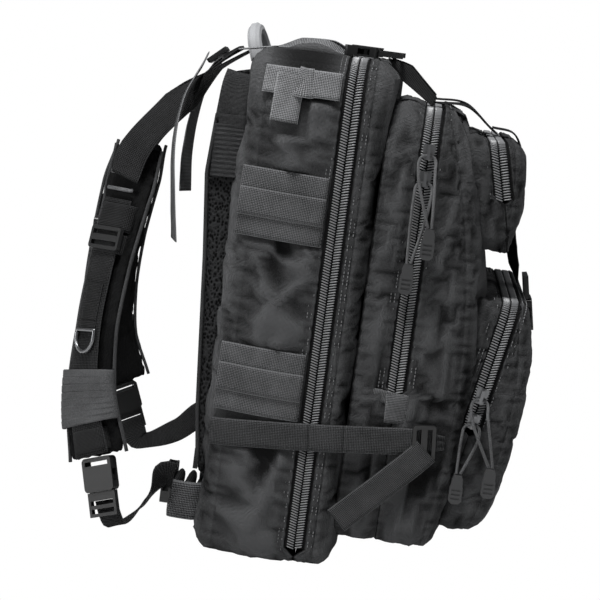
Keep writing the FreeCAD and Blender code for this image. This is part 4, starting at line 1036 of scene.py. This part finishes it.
def make_body_straps():
    """The sewn part of the compression strap, the upper strap with its keeper and tail, and the top band."""
    low_strap = ribbon("compression_rear", [(-MAIN_HW - 0.2, 40.0, 114.8), (-MAIN_HW - 2.8, 26.0, 115.8),
                                            (-MAIN_HW - 4.4, 0, 118), (SIDE_X - 0.8, -32.0, 120.2),
                                            (SIDE_X - 0.4, -50.0, 121.8)], UPRIGHT, WEB, WEBBING_MID)
    turn = math.radians(20)     # the upper strap lies on the rounded corner
    radius = MAIN_ROUND + GAP + WEB_T / 2
    x = -MAIN_HW + MAIN_ROUND - radius * math.cos(turn)
    z = MAIN_TOP - MAIN_ROUND + radius * math.sin(turn)
    leaning = (math.sin(turn), 0, math.cos(turn))
    upper = ribbon("upper_strap", [(x - 0.8, 30.0, z), (x - 3.0, 0.0, z), (x - 1.0, -38.0, z)], leaning, WEB,
                   WEBBING_LIGHT, seed=3)
    keeper = ribbon("keeper", [(x - 2.4, 2.5, z + 1), (x - 4.6, -5, z), (x - 2.4, -14.0, z)], leaning, 27.0,
                    WEBBING_LIGHT, seed=4)
    tail = ribbon("upper_tail", [(x - 4.2, 6.0, z + 6.0), (x - 6.8, 7.0, z - 12.0), (x - 7.6, 8.0, z - 36.0)],
                  DEEP, WEB, WEBBING_LIGHT, seed=5, curl=0.8)
    over = ribbon("top_band", [(-TOP_BAND_X, y, MAIN_TOP + rise)
                               for y, rise in ((28.0, 1.4), (8.0, 6.5), (-16.0, 7.0), (-40.0, 1.4))],
                  (ACROSS, (0.9, 0, 0.42), (0.9, 0, 0.42), ACROSS), WEB, WEBBING_LIGHT, seed=6)
    left = join("body_straps_left", [low_strap, upper, keeper, over])
    dress_pair(left, "body_straps_right", "rear", "webbing", "body_straps")
    hang(tail, "rear", "upper_tail_right")


def make_compression():
    """The compression strap in front of the main zip, gathered into its lock, and its loose tail."""
    near = ribbon("compression_near", [(SIDE_X - 0.4, -50.4, 121.8), (SIDE_X - 1.2, -66.0, 123.2),
                                       (SIDE_X, -82.0, 124.6)], UPRIGHT, WEB, WEBBING_MID, seed=7)
    second_x = -(SECOND_HW + GAP + WEB_T / 2)
    far = ribbon("compression_run", [(SIDE_X, -82.0, 124.6), (SIDE_X + 3.2, -112.0, 127.1),
                                     (SIDE_X + 5.8, -138.0, 129.2), (second_x, -172.0, 132.0)],
                 UPRIGHT, WEB, WEBBING_MID, seed=8, taper=(1.0, 0.5))
    left = join("compression_left", [near, far])
    dress_pair(left, "compression_right", "second_front", "webbing", "compression_straps")
    least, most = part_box("compression_locks")
    x, y, z = least.x / MM + 1.0, (least.y + most.y) / 2 / MM, (least.z + most.z) / 2 / MM
    tail = ribbon("compression_tail", [(x - out, y + away, z - fall) for out, away, fall in (
        (0, -3.0, 6.5), (1.4, 8.0, 19.0), (3.0, 25.0, 36.5), (4.6, 46.0, 58.0), (8.0, 69.0, 80.5))],
                  (0, 1, 1), WEB, WEBBING_MID, seed=9, wave=1.0)
    hang(tail, "second_front", "compression_tail_right")


def make_zip_end():
    """The bound end of the second zip, with its tab."""
    x = -(SECOND_HW + 1.6)
    edge = ribbon("zip_end_band", [(x + 1.2, -97.0, 168.0), (x, -110.0, 167.0), (x - 0.4, -121.5, 166.0),
                                   (x, -134.0, 165.4), (x + 0.8, -147.0, 165.0)],
                  UPRIGHT, 11.0, WEBBING, seed=41, thick=2.0)
    tab = ribbon("zip_end_tab", [(x - 1.0, -124.0, 170.0), (x - 2.2, -124.5, 160.0),
                                 (x - 1.4, -125.0, 144.0)], DEEP, 20.0, WEBBING, seed=42, wave=0.6)
    dress_pair(join("second_zip_end_left", [edge, tab]), "second_zip_end_right", "second_front", "webbing")


def make_harness():
    """The webbing over the front: arms from the top buckles, a yoke, and a stem to the front buckle."""
    x, z = TOP_BAND_X, MAIN_TOP + 1.6 + 0.6 + 4.5
    arm = ribbon("harness_arm_left", [(-x, -74.0, z - 3.6), (-x + 2, -92.0, z - 15.0),
                                      (-x + 7, -121.0, SECOND_TOP + 5.4)],
                 (ACROSS, (0.75, 0, 0.66), (0.9, 0, 0.4)), WEB, WEBBING_DARK, seed=10)
    dress_pair(arm, "harness_arm_right", "front", "dark_webbing", "y_strap_arms")
    lid_y = upper_front(UPPER_FOLD) - 1.7
    branch = ribbon("branch", [(-55.0, -122.0, SECOND_TOP + 5.2), (-42.0, -150.0, SECOND_TOP + 5.1),
                               (-13.2, -178.0, UPPER_TOP + 8)], ACROSS, WEB, WEBBING_DARK, seed=11)
    mouth_y, mouth_z = lower_front(LOWER_TOP - 8) - 4.5, LOWER_TOP - 8
    end = ribbon("stem_end", [(0, lid_y - 0.6, UPPER_FOLD - 3), (0, lid_y - 1.6, UPPER_LOW + 18),
                              (0, lid_y - 2.4, UPPER_LOW - 4), (0, mouth_y + 16.0, mouth_z + 30),
                              (0, mouth_y + 10.5, mouth_z + 14)],
                 (ACROSS, ACROSS, (0.93, 0.36, 0), (0.93, 0.36, 0), ACROSS), WEB, WEBBING_DARK, seed=12)
    yoke = join("harness_yoke", [branch, flipped(branch, "branch_right"), end])
    dress(yoke, "second_front", "dark_webbing", "y_strap_yoke")
    stem = ribbon("stem", [(0, -179.5, UPPER_TOP + 9), (0, lid_y + 11.0, UPPER_TOP + 5.5),
                           (0, lid_y - 1.2, UPPER_TOP - 22), (0, lid_y - 1.0, UPPER_FOLD + 3)],
                  ACROSS, WEB, WEBBING_DARK, seed=13)
    dress(stem, "upper_lid", "dark_webbing", "y_strap_stem")


make_side_bands()
make_front_bands()
make_body_straps()
make_compression()
make_zip_end()
make_harness()

# ------------------------------------------------------------------ shoulder straps
STATIONS = {    # centre of each strap from its top down, and how far its face turns outwards in degrees
    "left": ((-88.0, 142.0, 356.0, 60.0), (-97.0, 147.0, 306.0, 48.0), (-110.0, 153.0, 250.0, 44.0),
             (-124.0, 156.0, 190.0, 44.0), (-140.0, 151.0, 128.0, 52.0), (-155.0, 136.0, 79.0, 64.0)),
    "right": ((-86.0, 170.0, 346.0, 52.0), (-94.0, 179.0, 297.0, 48.0), (-103.0, 187.0, 242.0, 44.0),
              (-112.0, 191.0, 184.0, 44.0), (-121.0, 188.0, 126.0, 50.0), (-128.0, 172.0, 80.0, 60.0))}
ENDS = {        # where each strap's buckle parts, and its direction and normal there
    "left": ((-163.793, 127.207, 50.276), (-0.2809, -0.2809, -0.9177), (-0.8698, 0.4787, 0.1197)),
    "right": ((-132.453, 161.822, 50.738), (-0.1423, -0.3252, -0.9349), (-0.8723, 0.4876, -0.0368))}
TOP_WEB = {
    "left": ((-70.0, 29.5, 463.2), (-70.0, 62.0, 456.5), (-72.0, 92.0, 430.0), (-83.0, 112.0, 402.0)),
    "right": ((-70.0, 29.5, 463.2), (-70.0, 64.0, 456.5), (-72.0, 100.0, 431.0), (-80.0, 132.0, 397.0))}
TAILS = {
    "left": ((-73.0, 93.0, 442.6), (-112.0, 103.0, 406.0), (-125.0, 105.0, 368.0), (-123.0, 101.0, 322.0),
             (-119.0, 96.0, 280.0)),
    "right": ((-73.0, 98.0, 443.5), (-110.0, 117.0, 412.0), (-123.0, 126.0, 376.0), (-127.0, 129.0, 336.0),
              (-125.0, 126.0, 298.0))}
TAIL_TWIST = ((1.0, 0.1, 0.0), (1.0, 0.16, 0.0), (0.98, 0.25, -0.05), (0.96, 0.3, -0.08), (0.96, 0.34, -0.08))
PAD_HALF, PAD_FACE = 33.0, 6.5      # half the pad's width, and its face above its centre line


def strap_at(t, stations):
    """Centre, down, wide and normal of a shoulder strap; t counts stations."""
    centres = np.array([s[:3] for s in stations])
    fine = spline(centres, 1.0)
    run = run_length(fine)
    key = [int(np.argmin(np.linalg.norm(fine - q, axis=1))) for q in centres]
    at = np.interp(t, range(len(centres)), run[key])
    down = unit(read_at(at + 4, run, fine) - read_at(at - 4, run, fine))
    turn = math.radians(np.interp(t, range(len(centres)), [s[3] for s in stations]))
    wide = unit(np.cross(down, (-math.sin(turn), math.cos(turn), 0)))
    return read_at(at, run, fine), down, wide, np.cross(wide, down)


def full_width(t):
    """The pad's width at t as a share of its greatest."""
    return 0.84 + 0.16 * ease(0, 0.9, t)


def pad_rings(stations):
    """Rings of the pad from its top to its foot, thinner at both edges."""
    rings, sides = 71, 28
    coords = []
    for t in np.linspace(0, 5, rings):
        centre, _, wide, normal = strap_at(t, stations)
        half = PAD_HALF * full_width(t)
        for j in range(sides):
            u, v = math.cos(2 * math.pi * j / sides), math.sin(2 * math.pi * j / sides)
            share = abs(u) ** 0.55
            thick = 4.6 * min(1.0, ((1 - share) * 5.2) ** 0.5 * 0.8 + 0.3)
            coords.append(centre + wide * math.copysign(share, u) * half
                          + normal * math.copysign(abs(v) ** 0.6, v) * thick)
    return coords, capped(rings, sides)


def pad_mesh(name, stations):
    """Padded strap, blown up as cloth, with a sewn line inside its bound edge."""
    places = [strap_at(t, stations) for t in np.linspace(0, 5, 120)]
    line, _, wide, face = (np.array(values) for values in zip(*places))

    def local(co):
        """The nearest place on the line, and how far each point is to its side and off its face."""
        near = np.argmin(((co[:, None, :] - line[None]) ** 2).sum(2), axis=1)
        off = co - line[near]
        return near, dots(off, wide[near]), dots(off, face[near])

    coords, faces = pad_rings(stations)
    ob = build(name, coords, faces, FOAM)
    plump(ob, 4.0, 5.0, lambda co: (np.abs(local(co)[1]) > 24.5).astype(float))
    co = points_of(ob)
    normal = np.zeros(len(co) * 3)
    ob.data.vertices.foreach_get("normal", normal)
    near, side, height = local(co)
    folds = (fold_noise(co, (30, 30, 14), 21) - 0.3) * 0.9
    co = co + normal.reshape(-1, 3) * (folds - 1.3 * bell(np.abs(side), 25.0, 1.6))[:, None]
    crest = PAD_FACE - 0.2
    over = np.abs(height) > crest
    co[over] -= (face[near] * (np.sign(height) * (np.abs(height) - crest))[:, None])[over]
    put_points(ob, co)
    return ob


def along_pad(name, stations, start, end, width, lift, seed):
    """Dark webbing along the face of the pad."""
    places = [strap_at(t, stations) for t in np.linspace(start, end, 16)]
    points = [centre + normal * (PAD_FACE + lift) for centre, _, _, normal in places]
    return ribbon(name, points, [tuple(wide) for _, _, wide, _ in places], width, WEBBING_DARK, seed=seed)


def across_pad(name, stations, t, width, lift, half, thick, seed, mat=WEBBING_DARK):
    """A band round the face of the pad, turning down over both edges."""
    centre, down, wide, normal = strap_at(t, stations)
    drops = ((-half - 2.2, 7.5), (-half, 2.2), (-half * 0.75, 0), (0, -0.3), (half * 0.75, 0), (half, 2.2),
             (half + 2.2, 7.5))
    points = [centre + normal * (PAD_FACE + lift - drop) + wide * off for off, drop in drops]
    return ribbon(name, points, tuple(down), width, mat, thick=thick, seed=seed)


def adjuster_bars(stations):
    """Bright edges of the webbing folded back through the adjuster."""
    made = []
    for t in (0.52, 0.82):
        centre, down, wide, normal = strap_at(t, stations)
        points = [centre + normal * 10.4 + wide * off for off in (-17, 0, 17)]
        made.append(ribbon("bar", points, tuple(down), 3.2, WEBBING_LIGHT, thick=2.6))
    return made


def strap_piece(ob, which, name, slot_name, *nodes):
    """Dresses a piece of a strap. Both straps are made on the left, and the right one is turned over."""
    if which == "right":
        turned = flipped(ob, name)
        bpy.data.objects.remove(ob)
        ob = turned
    ob.name = name
    return dress(ob, "rear", slot_name, *nodes)


def with_left(which, node):
    """The left strap's piece replaces a node that holds both straps."""
    return (node,) if which == "left" else ()


def make_pad(which, stations):
    node = "shoulder_pad_" + which
    pad = strap_piece(pad_mesh("pad_" + which, stations), which, node + "_cover", "pack_fabric", node)
    edges = []
    for sign in (-1, 1):
        line = []
        for t in np.linspace(0.0, 5.0, 60):
            centre, _, wide, _ = strap_at(t, stations)
            line.append(centre + wide * (sign * PAD_HALF * full_width(t)))
        edges.append(tube("piping", line, 1.7, PIPING))
    strap_piece(join("piping_" + which, edges), which, "strap_piping_" + which, "webbing")


def make_strap_webbing(which, stations):
    """Webbing from the pack's top onto the pad and down its face, with its blocks, bars and elastic wraps."""
    path = list(TOP_WEB[which])
    across = [ACROSS, ACROSS, (1, 0.05, 0.05), (0.7, 0.55, 0.45)]
    for t, extra in ((0.05, 4.6), (0.6, 4.2)):
        centre, _, wide, normal = strap_at(t, stations)
        level = wide if wide[1] > 0 else -wide
        path.append(tuple(centre + normal * (PAD_FACE + 0.6 + WEB_T / 2 + extra) - level * 7.0 * (1 - t)))
        across.append(tuple(level))
    light = ribbon("top_web", path[:2], across[:2], WIDE_WEB, WEBBING_LIGHT, seed=14, wave=0.5)
    dark = [ribbon("pad_web", path[1:], across[1:], WIDE_WEB, WEBBING_DARK, seed=15, wave=0.6),
            along_pad("face_web", stations, 1.0, 4.98, WIDE_WEB, 2.2, 16),
            across_pad("cross", stations, 1.3, WEB, 3.6, 21.0, 2.2, 17),
            across_pad("cross", stations, 1.72, 18.0, 3.6, 20.0, 2.2, 18),
            along_pad("ring_keeper", stations, 2.88, 3.06, WEB, 3.4, 19),
            along_pad("ring_tape", stations, 2.35, 2.9, WEB, 3.7, 20),
            across_pad("end_tab", stations, 4.72, 20.0, 3.4, 18.0, 2.4, 21)]
    strap_piece(join("strap_dark_" + which, dark), which, "strap_webbing_" + which, "dark_webbing",
                *with_left(which, "shoulder_webbing"))
    strap_piece(join("strap_light_" + which, [light] + adjuster_bars(stations)), which,
                "strap_light_webbing_" + which, "webbing")
    wraps = [across_pad("wrap", stations, 3.66 + 0.1 * k, 7.6, 2.9, 32.6, 2.0, 30 + k, ELASTIC_LIGHT)
             for k in range(8)]
    strap_piece(join("wraps_" + which, wraps), which, "strap_elastic_" + which, "elastic")


def make_lifter_tail(which):
    name = "load_lifter_tail_" + which
    tail = ribbon(name, TAILS[which], TAIL_TWIST, WEB, WEBBING, seed=22, wave=0.5)
    tail = strap_piece(tail, which, name, "webbing", *with_left(which, "load_lifter_tails"))


def make_strap_ends(which, stations, t, end_y, reach):
    """The webbing from the wing by the belt to the strap's buckle, and the chest strap from t on the pad."""
    mouth, down, normal = (np.array(v) for v in ENDS[which])
    wide = np.cross(normal, down)
    level = wide if wide[2] > 0 else -wide
    wing = np.array((-126.0, 69.1, 63.0))
    quarter = wing + (0, 9.0, 0)
    lap, rear_end, bend = (mouth + down * a - normal * b for a, b in ((8, 4.0), (19, 6.2), (31, 14.0)))
    middle = quarter + (bend - quarter) * 0.4 + (0, 0, -8.0)
    upright = np.array((0, 0.1, 1))
    turns = (upright, upright * 0.9 + level * 0.1, upright * 0.5 + level * 0.5, level, level, level)
    web = ribbon("lower_web", [wing, quarter, middle, bend, rear_end, lap], [tuple(v) for v in turns], WEB,
                 WEBBING_DARK, seed=23)
    centre, down, wide, normal = strap_at(t, stations)
    edge = centre + np.cross(down, normal) * 26.5
    turn = np.array((-47.0, end_y, 262.0))
    toward = unit(turn - edge)
    foot = edge + toward * 8.6
    chest = ribbon("chest_web", [foot, foot + toward * 10, turn, (-reach, end_y, 262.0)],
                   (tuple(-down), tuple(-down), UPRIGHT, UPRIGHT), WEB, WEBBING_DARK, seed=24)
    strap_piece(join("ends_" + which, [web, chest]), which, "strap_ends_" + which, "dark_webbing",
                *with_left(which, "strap_webbing"))


for which, chest in (("left", (1.7, 184.0, 31.5)), ("right", (1.6, 180.5, 10.0))):
    make_pad(which, STATIONS[which])
    make_strap_webbing(which, STATIONS[which])
    make_lifter_tail(which)
    make_strap_ends(which, STATIONS[which], *chest)

# ------------------------------------------------------------------ back panel, sleeve, handle, belt
PAD_OUTER = ((60.0, 52.0), (130.0, 60.0), (270.0, 70.0), (345.0, 77.0), (438.0, 71.0))
PAD_TOP_FOOT = 345.0    # above this height the pad's rear is clear of the pack


def pad_y(z):
    """Depth of the pad's face at a height."""
    return np.interp(z, *zip(*PAD_OUTER))


def make_back_pad():
    case = Case(117.0, 61.0, 437.0, 40.0, 18.0, step=4.5)
    sewn = 42.8

    def rear_of(z):
        return sewn if z < PAD_TOP_FOOT else sewn + (pad_y(z) - 13 - sewn) * ease(PAD_TOP_FOOT, 360, z)

    def edge_held(co):
        inside = np.minimum(case.hw - np.abs(co[:, 0]), np.minimum(co[:, 2] - case.low, case.high - co[:, 2]))
        return (inside < 9).astype(float)

    pad = tray("back_pad_cover", case, rear_of, lambda z: pad_y(z) - 1.5, 1, 7.0, MESH, puff=0.6, bulge=1.0,
               seed=30, folds=0.5, across=5)
    pad = plump(baked_copy(solidify(pad, 8.0)), 2.0, 4.0, edge_held)
    co = points_of(pad)
    x, z = co[:, 0], co[:, 2]
    least = np.where(z < 340, 42.6, 42.6 + (pad_y(z) - 57) * np.clip((z - PAD_TOP_FOOT) / 15, 0, 1))
    co[:, 1] = np.maximum(co[:, 1], least)
    for line in (-64.0, 64.0):
        co[:, 1] -= 3.0 * bell(x, line, 5.0) * (co[:, 1] > least + 4)
    co[:, 1] -= 5.0 * bell(x, 0.0, 10.0) * (co[:, 1] > least + 6) * (z > 92) * (z < 338)
    put_points(pad, co)
    dress(pad, "rear", "spacer_mesh", "back_pad")
    edges = [tube("edge", [(side * 118.0, pad_y(z) - 3.5, z) for z in np.linspace(80, 398, 70)], 1.8, PIPING)
             for side in (-1, 1)]
    dress(join("back_pad_piping", edges), "rear", "webbing")


def make_sleeve_gussets():
    """The pleated elastic sides of the sleeve, with their hem and the fin above."""
    parts = []
    for k in range(11):
        z = 346.0 + k * 4.2
        points = [(-119.5, 42.5, z), (-120.6, 55, z - 0.6), (-119.5, pad_y(360) - 6, z - 1.2)]
        parts.append(ribbon("pleat", points, UPRIGHT, 5.0, ELASTIC, thick=2.4, seed=k, curl=-0.9))
    parts.append(ribbon("hem", [(-120.2, 42.5, 393.0), (-121.2, 55, 392.5), (-120.2, pad_y(393) - 6, 392.0)],
                        UPRIGHT, 13.0, FABRIC, thick=1.8))
    points = [(-119.0, 58.0, 392.0), (-117.0, 57.0, 408.0), (-113.0, 56.0, 424.0), (-105.0, 54.0, 436.0)]
    parts.append(ribbon("fin", points, DEEP, 27.0, FABRIC, thick=1.4, seed=5, wave=1.5, curl=1.5))
    dress_pair(join("sleeve_gusset_left", parts), "sleeve_gusset_right", "rear", "elastic", "elastic_gussets")


def make_handle():
    y, z = MAIN_BACK + 6 - 0.2, MAIN_TOP - 14
    half = [(42, y, z), (36.1, y + 6, z + 16), (16.8, y + 9, z + 26)]
    path = [(-a, b, c) for a, b, c in half] + half[::-1]
    handle = tube("grab_handle", spline(path, 2.0), 6.4, WEBBING_LIGHT, sides=36, ribs=0.05)
    dress(handle, "rear", "webbing", "carry_handle")


def make_belt():
    """Half of the waist belt, folded up into a stack with a band round it, and its mirror image."""
    path = []
    for k in range(6):
        y = MAIN_BACK + GAP + WEB_T / 2 + k * 5.6
        a, b = (24.0, 54.0) if k % 2 == 0 else (54.0, 24.0)
        path += [(-96.0, y, a + (b - a) * share) for share in (0, 0.33, 0.67, 1)]
        if k < 5:
            path.append((-96.0, y + 2.8, b + (2.8 if b > 30 else -2.8)))
    belt = ribbon("belt", path, ACROSS, WIDE_WEB, WEBBING_DARK, seed=33)
    wrap = ribbon("belt_wrap", [(-110.0, 73.6, 39.0), (-116.6, 72.6, 39.0), (-118.2, 66.0, 39.0),
                                (-118.2, 50.0, 39.0), (-115.0, 43.4, 39.0)], UPRIGHT, 36.0, WEBBING, seed=34)
    dress_pair(join("waist_belt_left", [belt, wrap]), "waist_belt_right", "rear", "webbing", "waist_belt")


make_back_pad()
make_sleeve_gussets()
make_handle()
make_belt()

# ------------------------------------------------------------------ pull cords
PULLS = {  # bail, side the pull is on, drop, sway, stand-off, body
    "main": ((145.95, -50.0, 297.05), 1, 62.0, 0.0, 3.0, "main_pull"),
    "second_upper": ((-137.95, -121.5, 387.05), -1, 62.0, -10.0, 11.0, "second_upper_pull"),
    "second_lower": ((-137.95, -121.5, 363.05), -1, 72.0, 4.0, 3.0, "second_lower_slider"),
    "lower_upper": ((-127.95, -198.84, 175.09), -1, 58.0, -17.0, 12.0, "lower_upper_pull"),
    "lower_lower": ((-127.95, -194.6, 151.09), -1, 46.0, 6.0, 3.0, "lower_lower_slider"),
    "upper": ((110.95, -187.73, 379.14), 1, 44.0, 0.0, 3.0, "upper_pull")}
CORD_D = 2.8


def cord_route(eye, side_of, drop, sway, stand_off):
    """The route of a pull cord: up one leg, through the bail and down the other, in metres."""
    eye, out, level = np.array(eye), np.array((side_of, 0, 0)), np.array((0, -side_of, 0))

    def at(fall, side, lift):
        share = max(0.0, fall / drop - 0.25) / 0.75
        return eye - (0, 0, fall) + level * (side + sway * share) + out * (stand_off * lift)

    leg = ((drop, 1.7, 1.0), (drop * 0.5, 6.46, 1.0), (12.6, 7.6, 0.7), (3.6, 7.6, 0.0), (0.0, 4.0, 0.0))
    points = [at(f, -w, k) for f, w, k in leg] + [at(f, w, k) for f, w, k in reversed(leg)]
    return [tuple(float(v) * MM for v in p) for p in points]


def make_cord(name, body, route):
    data = bpy.data.curves.new(name + "_cord_line", "CURVE")
    data.dimensions = "3D"
    data.bevel_depth = CORD_D / 2 * MM
    data.bevel_resolution = 3
    data.resolution_u = 8
    line = data.splines.new("NURBS")
    line.points.add(len(route) - 1)
    for point, place in zip(line.points, route):
        point.co = (*place, 1)
    line.order_u = 3
    line.use_endpoint_u = True
    data.materials.append(CORD)
    ob = dress(link(name + "_cord_line", data), body, "pull_cord", name + "_pull_cord")


for name, (*shape, body) in PULLS.items():
    make_cord(name, body, cord_route(*shape))

# ------------------------------------------------------------------ hardware keeps its CAD shape
HARD = dict.fromkeys(("fixed_buckles", "top_buckle_males", "front_buckle_female", "front_buckle_male",
                      "sternum_buckle_male", "strap_buckle_male_left", "strap_buckle_male_right",
                      "strap_adjusters", "compression_locks"), PLASTIC)
HARD.update(dict.fromkeys(("d_ring_left", "d_ring_right"), METAL))
for name in PULLS:
    HARD[name + "_slider"] = METAL
    HARD[name + "_pull_grip"] = GRIP
for name, mat in HARD.items():
    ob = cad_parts[name]
    ob.data.materials.clear()
    ob.data.materials.append(mat)
    m = ob.modifiers.new("soft_edges", "BEVEL")
    m.width = 0.5 * MM
    m.segments = 2
    m.limit_method = "ANGLE"
    m.angle_limit = math.radians(40)
for name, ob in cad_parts.items():
    if name not in HARD and not ob.hide_render:
        ob.data.materials.clear()
        ob.data.materials.append(FABRIC if "shell" in name else CORD if "cord" in name else TAPE)

# ------------------------------------------------------------------ light, floor and camera
scene = bpy.context.scene
scene.view_settings.view_transform = "Standard"
WHITE = (1, 1, 1, 1)


def seen_white(tree, kind, lit, output):
    """Plain white to the camera, while lit is what reaches the pack."""
    white, path, mixer = (tree.nodes.new(k) for k in (kind, "ShaderNodeLightPath", "ShaderNodeMixShader"))
    white.inputs["Color"].default_value = WHITE
    white.inputs["Strength"].default_value = 1.0
    for source, target in ((path.outputs["Is Camera Ray"], mixer.inputs[0]),
                           (lit.outputs[0], mixer.inputs[1]), (white.outputs[0], mixer.inputs[2]),
                           (mixer.outputs[0], tree.nodes[output].inputs["Surface"])):
        tree.links.new(source, target)


def make_world():
    world = bpy.data.worlds.new("studio")
    scene.world = world
    world.use_nodes = True
    lit = world.node_tree.nodes["Background"]
    lit.inputs["Color"].default_value = (0.86, 0.88, 0.9, 1)
    lit.inputs["Strength"].default_value = 0.11
    seen_white(world.node_tree, "ShaderNodeBackground", lit, "World Output")


def make_floor():
    half, z = 3.0, -0.0005
    me = bpy.data.meshes.new("floor")
    me.from_pydata([(-half, -half, z), (half, -half, z), (half, half, z), (-half, half, z)], [],
                   [(0, 1, 2, 3)])
    m = bpy.data.materials.new("pale_floor")
    m.use_nodes = True
    lit = m.node_tree.nodes["Principled BSDF"]
    lit.inputs["Base Color"].default_value = (0.8, 0.8, 0.8, 1)
    lit.inputs["Roughness"].default_value = 0.9
    seen_white(m.node_tree, "ShaderNodeEmission", lit, "Material Output")
    me.materials.append(m)
    link("floor", me)


def make_camera(target, azimuth, elevation, roll, distance):
    az, el, roll = (math.radians(a) for a in (azimuth, elevation, roll))
    back = Vector((math.sin(az) * math.cos(el), -math.cos(az) * math.cos(el), math.sin(el)))
    right = (-back).cross(Vector(UPRIGHT)).normalized()
    up = right.cross(-back).normalized()
    axes = (right * math.cos(roll) + up * math.sin(roll), up * math.cos(roll) - right * math.sin(roll), back)
    data = bpy.data.cameras.new("view")
    data.lens = 94.38
    data.sensor_width = 36
    data.shift_x = data.shift_y = -0.03
    data.clip_start = 0.05
    camera = link("view", data)
    camera.matrix_world = Matrix.Translation(target + back * distance) @ Matrix(axes).transposed().to_4x4()
    scene.camera = camera


def area_light(name, place, aim, size, power):
    data = bpy.data.lights.new(name, "AREA")
    data.shape = "RECTANGLE"
    data.size, data.size_y = size
    data.energy = power
    ob = link(name, data)
    ob.location = place
    ob.rotation_euler = (Vector(aim) - Vector(place)).to_track_quat("-Z", "Y").to_euler()


make_world()
make_floor()
make_camera(Vector((-0.140, -0.040, 0.263)), -87, 9, 7.5, 1.4)
area_light("key", (-0.6, 0.25, 1.9), (-0.14, -0.03, 0.28), (0.45, 0.45), 52)
area_light("rear", (-0.62, 1.6, 0.6), (-0.14, 0.0, 0.25), (0.5, 0.9), 17)
area_light("fill", (-1.7, -0.9, 0.6), (-0.1, -0.05, 0.22), (1.2, 1.2), 2.5)
area_light("rim", (0.2, -1.5, 1.2), (0, -0.1, 0.3), (0.8, 0.8), 7)
